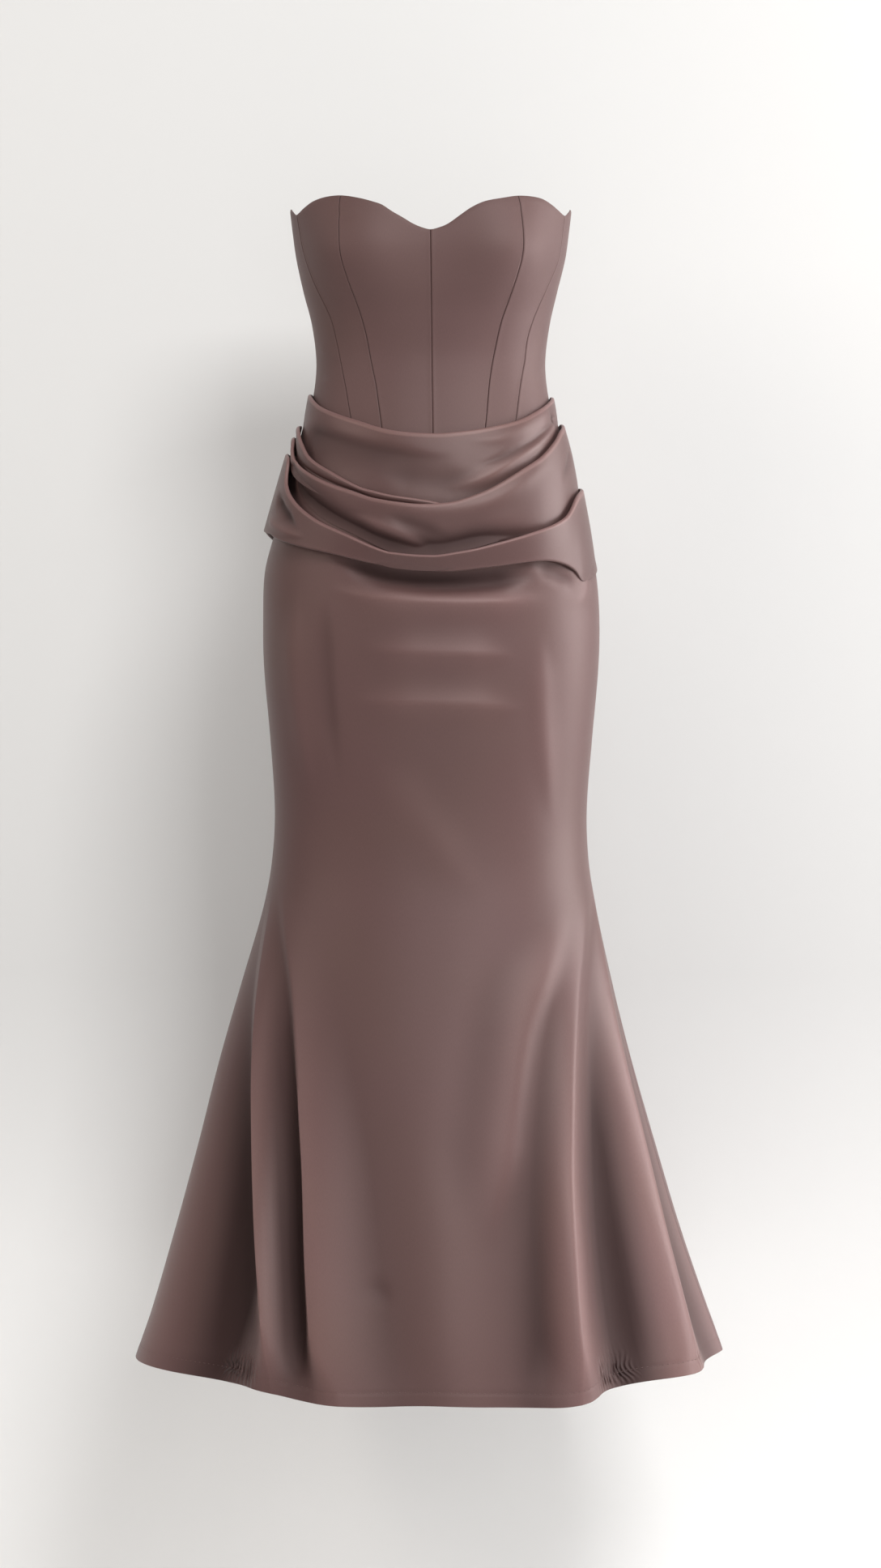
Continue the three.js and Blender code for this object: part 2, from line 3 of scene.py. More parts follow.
import bmesh
import bpy
import numpy as np
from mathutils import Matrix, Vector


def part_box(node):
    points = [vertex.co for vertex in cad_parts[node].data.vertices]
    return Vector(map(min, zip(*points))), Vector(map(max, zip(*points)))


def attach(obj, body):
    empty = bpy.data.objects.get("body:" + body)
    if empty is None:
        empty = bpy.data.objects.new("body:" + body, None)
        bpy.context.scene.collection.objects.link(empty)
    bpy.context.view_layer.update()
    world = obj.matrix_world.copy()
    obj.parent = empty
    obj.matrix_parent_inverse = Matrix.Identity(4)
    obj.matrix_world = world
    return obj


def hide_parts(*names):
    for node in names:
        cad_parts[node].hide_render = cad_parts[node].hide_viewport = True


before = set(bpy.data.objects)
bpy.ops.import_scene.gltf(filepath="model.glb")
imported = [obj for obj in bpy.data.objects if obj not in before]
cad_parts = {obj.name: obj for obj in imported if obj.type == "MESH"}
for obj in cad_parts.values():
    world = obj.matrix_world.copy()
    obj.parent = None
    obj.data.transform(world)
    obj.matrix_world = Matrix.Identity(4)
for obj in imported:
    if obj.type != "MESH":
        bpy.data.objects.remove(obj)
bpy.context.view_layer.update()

# Strapless mermaid gown: each cut piece is a thin shell on the form of its solid.
# Forms are worked out in millimetres, as the solids are, and made in metres.
# Angles are degrees round the waist's axis: 0 at the centre front, + to +X. The front faces -Y.

MM = 0.001
SHELL = 1.1  # thickness of a bodice or skirt piece
PLEAT_SHELL = 0.9  # thickness of a pleat's cloth
ROLL = 2.0  # radius of the rolled top edge of a pleat
FLUSH = 1.3  # nearest that a pleat comes to the cloth under it
WAIST_JOIN = -112  # height where the bodice meets the skirt, under the sash
ROUND = 2.25  # exponent of the body section
HEM = -1120  # mean height of the hem
CLOTH_CREASE = 50  # degrees between two faces past which their edge is sharp
LINE_STEPS = 4  # steps between two points of a soft fold
LINE_RADIUS = 150  # radius at which its angles are turned into millimetres
LINE_REACH = (50, 60)  # how far beyond its ends it can be felt, across and up
FOLD_KINK = 1.7  # how steeply the cloth leaves a sharp fold
HEM_EASED_FROM = -1045  # height from which the folds round off
HEM_EASE = 2.6  # how far round the dress they do, at the hem
CUP = {"angle": 42, "spread": 21, "height": 112, "above": 60, "below": 50, "depth": 15}

# Camera: where the photograph was taken from
EYE = (0.0108, -4.114, -0.4707)
LENS = 85
SENSOR = 36

# The form of the body that the cloth follows: half widths and depths at each height
FORM_COLUMNS = ("z", "left", "right", "front", "back")
FORM = [
    (-1135, 325, 325, 241, 270),
    (-1105, 317, 317, 236, 262),
    (-1050, 299, 298, 225, 247),
    (-960, 275, 270, 204, 221),
    (-870, 253, 246, 182, 194),
    (-780, 232, 223, 161, 168),
    (-690, 208, 202, 141, 142),
    (-600, 184, 182, 123, 120),
    (-555, 176, 175, 117, 113),
    (-500, 173, 173, 115, 110),
    (-420, 178, 179, 118, 115),
    (-340, 185, 186, 120, 124),
    (-285, 186, 187, 120, 129),
    (-235, 184, 183, 119, 131),
    (-195, 174, 174, 117, 129),
    (-150, 161, 161, 112, 121),
    (-110, 149, 149, 106, 110),
    (-70, 137, 137, 98, 97),
    (-32, 129, 129, 91, 88),
    (0, 127, 127, 89, 84),
    (40, 132, 132, 95, 87),
    (75, 141, 140, 103, 93),
    (112, 149, 149, 107, 98),
    (140, 153, 153, 105, 100),
    (165, 156, 156, 101, 99),
    (185, 158, 158, 96, 97),
]

# Folds of the flared skirt, in order round it: name, how crisp the line is on its left and on its
# right (0 soft, 1 sharp), its angle at each height and how far it stands out there
FOLD_HEIGHTS = (-590, -700, -860, -1000, -1120)
FOLDS = [
    ("back ridge", 0, 0, (-182, -182, -183, -184, -184), (0, 2, 7, 10, 13)),
    ("left rear valley", 0, 0, (-162, -162, -163, -163, -163), (0, -4, -9, -13, -16)),
    ("left rear ridge", 0, 0.2, (-147, -146, -143, -142, -141), (0, 3, 7, 12, 16)),
    ("left back valley", 0, 0, (-128, -127, -123, -120, -119), (0, -4, -10, -15, -18)),
    ("left back ridge", 0, 0, (-111, -109, -105, -102, -100), (0, 1, 3, 6, 8)),
    ("left flare", 0, 0, (-96, -91, -86, -82, -79), (0, 2, 5, 9, 12)),
    ("left valley", 0, 0.2, (-83, -76, -63.5, -54.5, -55), (0, -7, -24, -32, -25)),
    ("left outer ridge", 0.7, 0.2, (-77, -68.3, -55.2, -44.8, -38), (0, 3, 7, 11, 9)),
    ("left pinch", 0, 0.1, (-72.5, -57.5, -45, -37.5, -32), (0, -4, -15, -20, -10)),
    ("left inner ridge", 0.4, 0, (-68.5, -53, -39.8, -32.3, -27), (0, 3, 9, 12, 11)),
    ("left front valley", 0, 0, (-44, -36, -20.5, -13, -7), (0, -0.6, -2, -2.4, -1.8)),
    ("front swell", 0, 0, (20, 12, 4, 4, 6), (0, 0, 1, 2, 3)),
    ("right soft valley", 0, 0, (62, 47, 34, 29.5, 28), (0, -1.5, -4.5, -6, -6)),
    ("right ridge", 0, 0.6, (75, 57.5, 43.6, 37.4, 35.4), (0, 4, 11, 17, 18)),
    ("right valley", 0, 0, (81, 68, 60, 55.5, 52.5), (0, -8, -25, -33, -31)),
    ("right outer ridge", 0.3, 0.4, (86, 77, 72.5, 68.5, 65.5), (0, 1, 6, 11, 13)),
    ("right side notch", 0, 0, (92, 84, 80.5, 78, 76.5), (0, -2, -6, -8, -7)),
    ("right back ridge", 0, 0, (108, 103, 99, 96, 94), (0, 2, 6, 9, 12)),
    ("right back valley", 0, 0, (129, 126, 123, 122, 121), (0, -4, -10, -15, -18)),
    ("right rear ridge", 0.2, 0, (147, 145, 142, 140, 139), (0, 3, 8, 12, 15)),
    ("right rear valley", 0, 0, (164, 162, 160, 158, 158), (0, -3, -8, -12, -15)),
    ("back ridge", 0, 0, (178, 178, 177, 176, 176), (0, 2, 7, 10, 13)),
]

# Soft folds laid along a line: name, (angle, height) points, the fold's width above and below the
# line in millimetres, how far it stands out, the shares of its length over which it starts and ends,
# and the power of its section (2 is round, near 1 is a crisp line)
SKIRT_LINES = [
    ("hollow under the sash",
     [(-50, -216), (-41, -229), (-26, -246), (0, -254), (29, -253), (52, -241)], 14, 9, -9, 0.2, 0.2, 2),
    ("ridge under the sash",
     [(-50, -256), (-28, -268), (-3, -273), (23, -274), (42, -271), (55, -264)], 8, 14, 7, 0.35, 0.25, 1.3),
    ("second ridge",
     [(-37, -322), (-15, -327), (4, -329), (24, -330), (43, -332)], 16, 17, 4.4, 0.35, 0.3, 1.25),
    ("third ridge",
     [(-42, -379), (-20, -382), (4, -384), (28, -386), (47, -390)], 17, 17, 4.2, 0.35, 0.3, 1.25),
    ("side drop left", [(-60, -250), (-62, -330), (-60, -410), (-56, -500)], 14, 14, 2.2, 0.3, 0.4, 2),
    ("side trough left", [(-49, -262), (-49, -330), (-48, -400), (-44, -480)], 9, 9, -2.4, 0.3, 0.4, 2),
    ("side drop right", [(50, -300), (51, -360), (54, -430), (60, -520)], 12, 12, 2.0, 0.3, 0.4, 2),
    ("hollow in the curl", [(46, -236), (55, -239), (62, -248), (64, -262)], 8, 8, -4, 0.4, 0.4, 2),
    ("ridge round the curl",
     [(62, -234), (69, -242), (71.5, -254), (68, -268), (60, -278)], 9, 10, 2.4, 0.3, 0.5, 2),
    ("slant left", [(-34, -446), (-23, -466), (-5, -508), (10, -548), (30, -600)], 26, 26, 1.4, 0.3, 0.4, 2),
    ("slant right", [(66, -590), (47, -674), (35, -737), (27, -824), (23.5, -874), (19, -925), (16, -970)],
     15, 24, 6.4, 0.3, 0.3, 2),
    ("slant hollow", [(34, -640), (20, -730), (12, -820), (8, -900), (6, -960)], 22, 22, -1.6, 0.35, 0.35, 2),
    ("small break left", [(-17, -990), (-13, -1010), (-10, -1018)], 7, 9, -1.2, 0.4, 0.4, 2),
    ("back hollow under the sash",
     [(132, -232), (160, -236), (184, -238), (212, -232)], 12, 9, -4, 0.3, 0.3, 2),
    ("back ridge under the sash",
     [(130, -262), (158, -270), (184, -268), (214, -258)], 10, 6, 3.8, 0.3, 0.35, 2),
    ("back second ridge", [(140, -342), (165, -350), (190, -347), (212, -338)], 14, 5, 2.8, 0.35, 0.3, 2),
    ("back third ridge", [(150, -402), (172, -408), (196, -404)], 13, 5, 2.2, 0.3, 0.4, 2),
]
BODICE_LINES = [
    ("left top pull", [(-49, 160), (-43, 154), (-36, 150)], 4, 3, 0.7, 0.3, 0.3, 2),
    ("left top crease", [(-51, 152), (-44, 145), (-38, 142)], 3, 3, -0.6, 0.3, 0.3, 2),
    ("right top pull", [(49, 162), (44, 157), (39, 155)], 3.5, 3, 0.6, 0.3, 0.3, 2),
    ("left waist drag", [(-78, 12), (-66, 2), (-56, -6)], 6, 5, 0.6, 0.3, 0.3, 2),
    ("right waist drag", [(80, 8), (68, -2), (58, -12)], 6, 5, 0.6, 0.3, 0.3, 2),
    ("left side drag", [(-88, -12), (-76, -20), (-66, -26)], 6, 5, -0.6, 0.3, 0.3, 2),
    ("right side drag", [(88, -8), (78, -18), (68, -26)], 6, 5, -0.6, 0.3, 0.3, 2),
    ("back waist drag", [(150, 4), (166, -2), (178, -4)], 6, 5, 0.6, 0.3, 0.3, 2),
    ("back waist drag two", [(186, -8), (200, -2), (216, 4)], 6, 5, 0.6, 0.3, 0.3, 2),
]
UPPER_LINES = [
    ("hollow",
     [(-76, -78), (-63, -90), (-37, -108), (-17, -116), (-2, -120), (16, -120)], 11, 27, -5, 0.15, 0.5, 2),
    ("front hollow", [(-30, -132), (-8, -142), (10, -144), (26, -134)], 14, 14, -2.2, 0.35, 0.35, 2),
    ("right ridge",
     [(4, -152), (17, -147), (30, -136), (47, -112), (60, -93), (74, -71)], 10, 8, 3.8, 0.4, 0.05, 1.7),
    ("right crease", [(22, -128), (37, -117), (51, -101), (62, -86), (76, -66)], 5, 5, -3.4, 0.4, 0.05, 1.6),
    ("top swell right", [(18, -100), (38, -94), (56, -76), (72, -58)], 7, 8, 1.8, 0.4, 0.2, 2),
]
MIDDLE_LINES = [
    ("hollow over the next lip",
     [(-80, -126), (-73, -146), (-62, -166), (-52, -184), (-44, -197), (-36, -207), (-25, -218), (-12, -225),
      (4, -227), (15, -223), (26, -216), (38, -208), (54, -194)], 21, 20, -11, 0.04, 0.25, 2.4),
    ("slant ridge", [(-42, -178), (-31, -187), (-19, -199), (-7, -212), (4, -223)], 7, 8, 3.4, 0.4, 0.3, 2),
    ("slant trough", [(-24, -178), (-12, -188), (0, -198), (12, -206)], 8, 8, -2.4, 0.4, 0.4, 2),
    ("top swell", [(-74, -112), (-49, -138), (-28, -158), (-2, -174), (26, -166), (50, -134), (66, -104)],
     9, 10, 2.2, 0.2, 0.3, 2),
    ("right fold", [(64, -140), (72, -120), (78, -100)], 5, 6, -1.6, 0.4, 0.3, 2),
]
LOWER_LINES = [
    ("left dimple", [(-76, -150), (-72, -161), (-65, -178), (-58, -195)], 5, 6, -4.5, 0.3, 0.4, 2),
    ("left loop", [(-80, -172), (-72, -186), (-62, -197), (-54, -203)], 5, 5, 2.4, 0.3, 0.4, 2),
]

# Edges that run round the dress: height at each angle
NECK = [
    (-180, 148), (-150, 151), (-120, 159), (-96, 166), (-90, 167.5), (-83, 163), (-76, 156), (-69, 161),
    (-63, 166.5), (-56, 169.5), (-48, 169.5), (-39, 165.5), (-32, 161), (-27, 157), (-22, 150), (-16, 143),
    (-10, 136), (-4, 131.5), (0, 130), (4, 131.5), (10, 136), (18, 147), (23, 154), (30, 161),
    (39, 165.5), (47, 169), (55, 169.5), (60, 168), (65, 163.5), (70, 158.5), (76, 155), (83, 162),
    (90, 167), (96, 166), (120, 159), (150, 151), (180, 148),
]
HEM_EDGE = [
    (-180, -1126), (-150, -1122), (-120, -1114), (-90, -1102), (-78, -1102), (-65, -1106), (-54, -1109),
    (-46, -1110), (-39, -1113), (-30, -1120), (-16, -1123), (0, -1122), (16, -1124), (30, -1126),
    (37, -1122), (43, -1115), (51, -1113), (60, -1108), (66, -1105), (74, -1101), (90, -1100),
    (120, -1112), (150, -1122), (180, -1126),
]

# Top edges of the pleats of the sash, the edge each runs under, and the bottom edge of the lowest
UPPER_EDGE = [
    (-180, -62), (-140, -54), (-110, -44), (-92, -38), (-80, -42), (-65, -57), (-53, -67), (-42, -75),
    (-23, -87), (2, -91), (20, -88), (34, -83), (49, -74.5), (65, -59), (81, -45), (92, -41),
    (110, -46), (140, -55), (180, -62),
]
THIN_EDGE = [
    (-92, -72), (-80, -78), (-69, -97), (-61, -114), (-49, -131), (-35, -149), (-28, -154), (-20, -158.5),
    (-8, -162.5), (2, -166), (10, -171), (18, -177),
]
THIN_NEXT = [
    (-92, -86), (-79, -90), (-76, -101), (-70, -115), (-58, -132.5), (-46, -146), (-38, -153), (-27, -162),
    (-8, -168.5), (2, -172), (10, -177), (18, -183),
]
MIDDLE_RIGHT = [
    (20, -160), (31, -149), (48, -125), (55, -115), (65, -97), (75, -81), (92, -71), (110, -80), (140, -98),
    (180, -112),
]
UPPER_NEXT = (
    [(-180, -112), (-140, -105), (-110, -94), (-100, -84), (-92, -74)]
    + THIN_EDGE[1:9] + [(2, -165), (9, -166)] + MIDDLE_RIGHT
)
MIDDLE_EDGE = (
    [(-180, -112), (-140, -105), (-110, -95), (-100, -88)] + THIN_NEXT[:9] + [(9, -167)] + MIDDLE_RIGHT
)
LOWER_EDGE = [
    (-180, -152), (-140, -146), (-110, -130), (-92, -106), (-75, -112), (-73, -126), (-70, -142), (-63, -161),
    (-53, -180), (-47, -189), (-38, -200), (-26, -214.5), (-18, -221), (1, -224.5), (12, -221), (23, -215.5),
    (43, -200), (60, -181), (70, -158), (76, -150), (84, -145), (92, -142), (110, -140), (140, -146),
    (180, -152),
]
SASH_HEM = [
    (-180, -212), (-140, -206), (-110, -198), (-92, -189), (-75, -194), (-71, -198.5), (-58, -210),
    (-42, -221), (-26, -231.5), (-8, -237), (8, -240), (29, -234.5), (50, -227), (59, -229.5), (65, -236.5),
    (69, -248), (78, -242), (92, -228), (110, -222), (140, -216), (180, -212),
]

# Each pleat: the edges it lies between, how far it stands off at its top edge and at its foot
# (left side, front, right side, back), the level and height of the part tucked under the next one
PLEATS = [
    {"name": "sash_upper", "top": UPPER_EDGE, "next": UPPER_NEXT, "lip": (7, 7, 7, 6), "level": 3,
     "tuck": 12, "lines": UPPER_LINES},
    {"name": "sash_thin", "top": THIN_EDGE, "next": THIN_NEXT, "lip": (12, 8.2, 8, 9), "level": 5.7,
     "tuck": 6, "lines": []},
    {"name": "sash_middle", "top": MIDDLE_EDGE, "next": LOWER_EDGE, "lip": (14, 12, 12, 10.5), "level": 3,
     "tuck": 12, "lines": MIDDLE_LINES},
    {"name": "sash_lower", "top": LOWER_EDGE, "next": SASH_HEM, "lip": (15.5, 17, 11.5, 12), "level": 3,
     "tuck": 0, "lines": LOWER_LINES, "foot": (13, 12, 1.3, 8)},
]

# Seams of the bodice: angle at each height
SEAMS = {
    "princess_left": [(-112, -26), (-84, -29), (-38, -35), (-7, -39.5), (25, -41.5), (54, -43), (100, -44.2),
                      (126, -44.8), (170, -48.4)],
    "princess_right": [(-112, 29), (-84, 32.3), (-33, 38), (3, 42), (34, 43.6), (52, 44.7), (99, 45.2),
                       (126, 45.4), (170, 47)],
    "side_front_left": [(-112, -40), (-75, -46.5), (-43, -52.3), (-12, -57.6), (12, -59.9), (39, -61.3),
                        (93, -67.9), (144, -73.5), (170, -76)],
    "side_front_right": [(-112, 43.5), (-74, 50), (-35, 56.5), (-7, 60.8), (24, 62.1), (73, 67.8),
                         (102, 72.2), (128, 73.4), (170, 76)],
    "centre_front": [(-112, 1.6), (0, 0.9), (130, 0)],
    "side_left": [(-112, -90), (170, -90)],
    "side_right": [(-112, 90), (170, 90)],
    "back_left": [(-112, -152), (-40, -148), (0, -145), (60, -140), (160, -134)],
    "back_right": [(-112, 152), (-40, 148), (0, 145), (60, 140), (160, 134)],
    "centre_back_left": [(-112, -180), (98, -180), (128, -179.3), (136, -179.1), (170, -179.1)],
    "centre_back_right": [(-112, 180), (98, 180), (128, 179.3), (136, 179.1), (170, 179.1)],
}
BODICE = [
    ("bodice_centre_front_left", "princess_left", "centre_front"),
    ("bodice_centre_front_right", "centre_front", "princess_right"),
    ("bodice_side_front_left", "side_front_left", "princess_left"),
    ("bodice_side_front_right", "princess_right", "side_front_right"),
    ("bodice_side_left", "side_left", "side_front_left"),
    ("bodice_side_right", "side_front_right", "side_right"),
    ("bodice_side_back_left", "back_left", "side_left"),
    ("bodice_side_back_right", "side_right", "back_right"),
    ("bodice_centre_back_left", "centre_back_left", "back_left"),
    ("bodice_centre_back_right", "back_right", "centre_back_right"),
]
# What each piece of the sash and of the skirt spans, and how many columns its grid has
SASH_SPANS = [("front", -90, 90, 190), ("back_left", -180, -90, 80), ("back_right", 90, 180, 80)]
THIN_SPAN = ("front", -90, 18, 120)
SKIRT_SPANS = [
    ("skirt_front", -90, 90, 200),
    ("skirt_back_left", -180, -90, 110),
    ("skirt_back_right", 90, 180, 110),
]


def along(pairs, at):
    """A smooth line through (at, value) pairs, read at an array of places."""
    table = np.asarray(pairs, float)
    xs, ys = table[:, 0], table[:, 1]
    slope = np.empty(len(xs))
    slope[1:-1] = (ys[2:] - ys[:-2]) / (xs[2:] - xs[:-2])
    slope[0] = (ys[1] - ys[0]) / (xs[1] - xs[0])
    slope[-1] = (ys[-1] - ys[-2]) / (xs[-1] - xs[-2])
    x = np.clip(at, xs[0], xs[-1])
    i = np.clip(np.searchsorted(xs, x) - 1, 0, len(xs) - 2)
    span = xs[i + 1] - xs[i]
    t = (x - xs[i]) / span
    return (
        ys[i] * (2 * t**3 - 3 * t**2 + 1)
        + slope[i] * span * (t**3 - 2 * t**2 + t)
        + ys[i + 1] * (-2 * t**3 + 3 * t**2)
        + slope[i + 1] * span * (t**3 - t**2)
    )


SIZES = {
    column: [(row[0], row[k]) for row in FORM]
    for k, column in enumerate(FORM_COLUMNS)
}


def wrapped(angle):
    """The same angle between -180 and 180."""
    return (np.asarray(angle) + 540) % 360 - 180


def bump(x):
    """A round rise of height 1 that is about 1 wide on each side."""
    return np.exp(-x * x)


def eased(x):
    """A soft step from 0 to 1."""
    x = np.clip(x, 0, 1)
    return x * x * (3 - 2 * x)


def cup(angle, z):
    """How far the bust stands out of the plain form."""
    tall = np.where(z > CUP["height"], CUP["above"], CUP["below"])
    across = bump((np.abs(wrapped(angle)) - CUP["angle"]) / CUP["spread"])
    return CUP["depth"] * across * bump((z - CUP["height"]) / tall)


def down_fold(values, z):
    """A value given at the heights of the fold table, read at height z."""
    return along(sorted(zip(FOLD_HEIGHTS, values)), z)


def flutes(angle, z):
    """The folds of the flare, which open out and round off towards the hem."""
    ease = HEM_EASE * eased((HEM_EASED_FROM - z) / (HEM_EASED_FROM - HEM))
    sides = fold_lines(angle - ease, z) + fold_lines(angle + ease, z)
    far_sides = fold_lines(angle - 2 * ease, z), fold_lines(angle + 2 * ease, z)
    return (2 * fold_lines(angle, z) + sides + far_sides[0] + far_sides[1]) / 6


def fold_lines(angle, z):
    """Between two neighbouring lines the cloth runs from one to the other."""
    out = np.zeros(np.broadcast(angle, z).shape)
    lines = [(down_fold(fold[3], z), down_fold(fold[4], z), fold) for fold in FOLDS]
    turned = lines[0][0] + np.mod(angle - lines[0][0], 360)
    for (start, low, first), (end, high, last) in zip(lines, lines[1:]):
        t = (turned - start) / (end - start)
        inside = (t >= 0) & (t < 1)
        t = np.clip(t, 0, 1)
        leave = FOLD_KINK * first[2] * (high - low)
        arrive = FOLD_KINK * last[1] * (high - low)
        kinks = leave * (t**3 - 2 * t**2 + t) + arrive * (t**3 - t**2)
        line = low + (high - low) * (3 * t**2 - 2 * t**3) + kinks
        out = np.where(inside, line, out)
    return out


def line_folds(lines, angle, z):
    """Soft folds laid along smooth lines, with different widths above and below, that fade at both ends."""
    out = np.zeros(np.broadcast(angle, z).shape)
    for name, line, above, below, stand, start, end, power in lines:
        points = np.asarray(line, float)
        places = np.arange(len(points))
        finer = np.linspace(0, len(points) - 1, LINE_STEPS * (len(points) - 1) + 1)
        middle = points[:, 0].mean()
        x = np.radians(wrapped(angle - middle)) * LINE_RADIUS
        px = np.radians(along(np.stack([places, points[:, 0]], axis=1), finer) - middle) * LINE_RADIUS
        py = along(np.stack([places, points[:, 1]], axis=1), finer)
        lengths = np.hypot(np.diff(px), np.diff(py))
        starts = np.concatenate([[0], np.cumsum(lengths)])
        beside = np.abs(x - px.mean()) < np.ptp(px) / 2 + LINE_REACH[0]
        near = beside & (np.abs(z - py.mean()) < np.ptp(py) / 2 + LINE_REACH[1])
        nx, nz = x[near], z[near]
        nearest = np.full(nx.shape, np.inf)
        side = np.zeros(nx.shape)
        run = np.zeros(nx.shape)
        for k, length in enumerate(lengths):
            dx = (px[k + 1] - px[k]) / length
            dy = (py[k + 1] - py[k]) / length
            t = np.clip((nx - px[k]) * dx + (nz - py[k]) * dy, 0, length)
            away = np.hypot(nx - px[k] - t * dx, nz - py[k] - t * dy)
            closer = away < nearest
            nearest = np.where(closer, away, nearest)
            side = np.where(closer, (nz - py[k]) * dx - (nx - px[k]) * dy, side)
            run = np.where(closer, starts[k] + t, run)
        run = run / starts[-1]
        fade = eased(run / start) * eased((1 - run) / end)
        width = np.where(side > 0, above, below) * (0.5 + 0.5 * fade)
        out[near] += stand * fade * np.exp(-((nearest / width) ** power))
    return out


def body(angle, z):
    """Distance of the plain form from the axis."""
    turn = np.radians(angle)
    side = np.where(np.sin(turn) < 0, along(SIZES["left"], z), along(SIZES["right"], z))
    depth = np.where(np.cos(turn) > 0, along(SIZES["front"], z), along(SIZES["back"], z))
    section = (np.abs(np.cos(turn)) / depth) ** ROUND + (np.abs(np.sin(turn)) / side) ** ROUND
    return section ** (-1 / ROUND) + cup(angle, z)


def placed(angle, z, radius):
    """Points at these angles, heights and distances from the axis."""
    turn = np.radians(angle)
    return np.stack([radius * np.sin(turn), -radius * np.cos(turn), z + 0 * radius], axis=-1)


def facing(grid):
    """Directions straight out of a grid whose rows run down and whose columns run towards +angle."""
    across = np.gradient(grid, axis=1)
    down = np.gradient(grid, axis=0)
    out = np.cross(down, across)
    return out / np.linalg.norm(out, axis=-1, keepdims=True)


def hollows(out, turns, deep):
    """How far each point lies in a hollow (up to 1) or on a ridge (down to -1) of the cloth round it."""
    even = out.copy()
    for turn in range(turns):
        padded = np.pad(even, 1, mode="edge")
        even = (padded[:-2, 1:-1] + padded[2:, 1:-1] + padded[1:-1, :-2] + padded[1:-1, 2:] + even) / 5
    return np.clip((even - out) / deep, -1, 1)


def mesh_object(name, points, faces, material):
    """A smooth object of points in metres."""
    mesh = bpy.data.meshes.new(name)
    mesh.from_pydata(points, [], faces)
    mesh.polygons.foreach_set("use_smooth", [True] * len(mesh.polygons))
    mesh.materials.append(material)
    obj = bpy.data.objects.new(name, mesh)
    bpy.context.collection.objects.link(obj)
    return obj


def hand_over(obj, body_name, stands_for=None):
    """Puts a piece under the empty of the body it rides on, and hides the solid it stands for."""
    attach(obj, body_name)
    if stands_for:
        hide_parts(stands_for)


def smooth_by_angle(obj, degrees):
    bpy.ops.object.select_all(action="DESELECT")
    obj.select_set(True)
    bpy.context.view_layer.objects.active = obj
    bpy.ops.object.shade_smooth_by_angle(angle=math.radians(degrees))


def shell(name, grid, thickness, material, hollow, stands_for=None, pucker=None):
    """A closed sheet of cloth: the grid is its outer face, and the inner face lies straight inside it."""
    rows, columns = grid.shape[0] - 1, grid.shape[1] - 1
    inner = grid - facing(grid) * thickness
    points = np.concatenate([grid.reshape(-1, 3), inner.reshape(-1, 3)]) * MM
    stride = columns + 1
    layer = stride * (rows + 1)
    a = (np.arange(rows)[:, None] * stride + np.arange(columns)[None, :]).ravel()
    outer_faces = np.stack([a, a + stride, a + stride + 1, a + 1], axis=1)
    inner_faces = np.stack([layer + a, layer + a + 1, layer + a + stride + 1, layer + a + stride], axis=1)
    top = np.arange(columns)
    low = rows * stride + top
    start = np.arange(rows) * stride
    end = start + columns
    rim = [
        np.stack([top, top + 1, layer + top + 1, layer + top], axis=1),
        np.stack([low + 1, low, layer + low, layer + low + 1], axis=1),
        np.stack([start + stride, start, layer + start, layer + start + stride], axis=1),
        np.stack([end, end + stride, layer + end + stride, layer + end], axis=1),
    ]
    faces = np.concatenate([outer_faces, inner_faces, *rim])
    obj = mesh_object(name + "_cloth", points.tolist(), faces.tolist(), material)
    mesh = obj.data
    widths = np.linalg.norm(np.diff(grid, axis=1), axis=-1)
    lengths = np.linalg.norm(np.diff(grid, axis=0), axis=-1)
    u = np.concatenate([np.zeros((rows + 1, 1)), np.cumsum(widths, axis=1)], axis=1)
    u = u - u[:, columns // 2][:, None]
    v = np.concatenate([np.zeros((1, columns + 1)), np.cumsum(lengths, axis=0)], axis=0)
    coordinates = np.stack([u, -v], axis=-1).reshape(-1, 2) * MM
    both = np.concatenate([coordinates, coordinates])
    uv = mesh.uv_layers.new(name="cloth")
    corners = np.empty(len(mesh.loops), dtype=np.int64)
    mesh.loops.foreach_get("vertex_index", corners)
    uv.data.foreach_set("uv", both[corners].ravel())
    # painted shade and highlight: how far each point lies in a hollow or on a ridge, which the satin turns
    # into darker or lighter colour
    depth = mesh.attributes.new("hollow", "FLOAT", "POINT")
    depth.data.foreach_set("value", np.concatenate([hollow.ravel(), hollow.ravel()]))
    if pucker is not None:
        gathered = mesh.attributes.new("pucker", "FLOAT", "POINT")
        gathered.data.foreach_set("value", np.concatenate([pucker.ravel(), pucker.ravel()]))
    smooth_by_angle(obj, CLOTH_CREASE)
    hand_over(obj, "gown", stands_for or name)


# Materials

def give(tree, socket, value):
    """Links another node's output to a socket, or sets the socket's own value."""
    if isinstance(value, bpy.types.NodeSocket):
        tree.links.new(value, socket)
    else:
        socket.default_value = value


def node(tree, kind, *firsts, **values):
    """A shader node, its inputs given by their order or by their names."""
    added = tree.nodes.new(kind)
    for key, value in values.items():
        if key in added.inputs:
            give(tree, added.inputs[key], value)
        else:
            setattr(added, key, value)
    for socket, value in zip(added.inputs, firsts):
        give(tree, socket, value)
    return added


def new_material(name):
    material = bpy.data.materials.new(name)
    material.use_nodes = True
    tree = material.node_tree
    return material, tree, tree.nodes["Principled BSDF"]


def finish(tree, shader, **values):
    """Sets the shader's inputs, whose names have spaces in place of underlines."""
    for name, value in values.items():
        give(tree, shader.inputs[name.replace("_", " ")], value)


def object_place(tree):
    return node(tree, "ShaderNodeTexCoord").outputs["Object"]


def cloth_place(tree):
    return node(tree, "ShaderNodeUVMap", uv_map="cloth").outputs["UV"]


def painted(tree, attribute):
    return node(tree, "ShaderNodeAttribute", attribute_name=attribute).outputs["Fac"]


def stretched(tree, place, **values):
    return node(tree, "ShaderNodeMapping", Vector=place, **values).outputs["Vector"]


def noise(tree, place, **values):
    return node(tree, "ShaderNodeTexNoise", Vector=place, **values).outputs["Fac"]


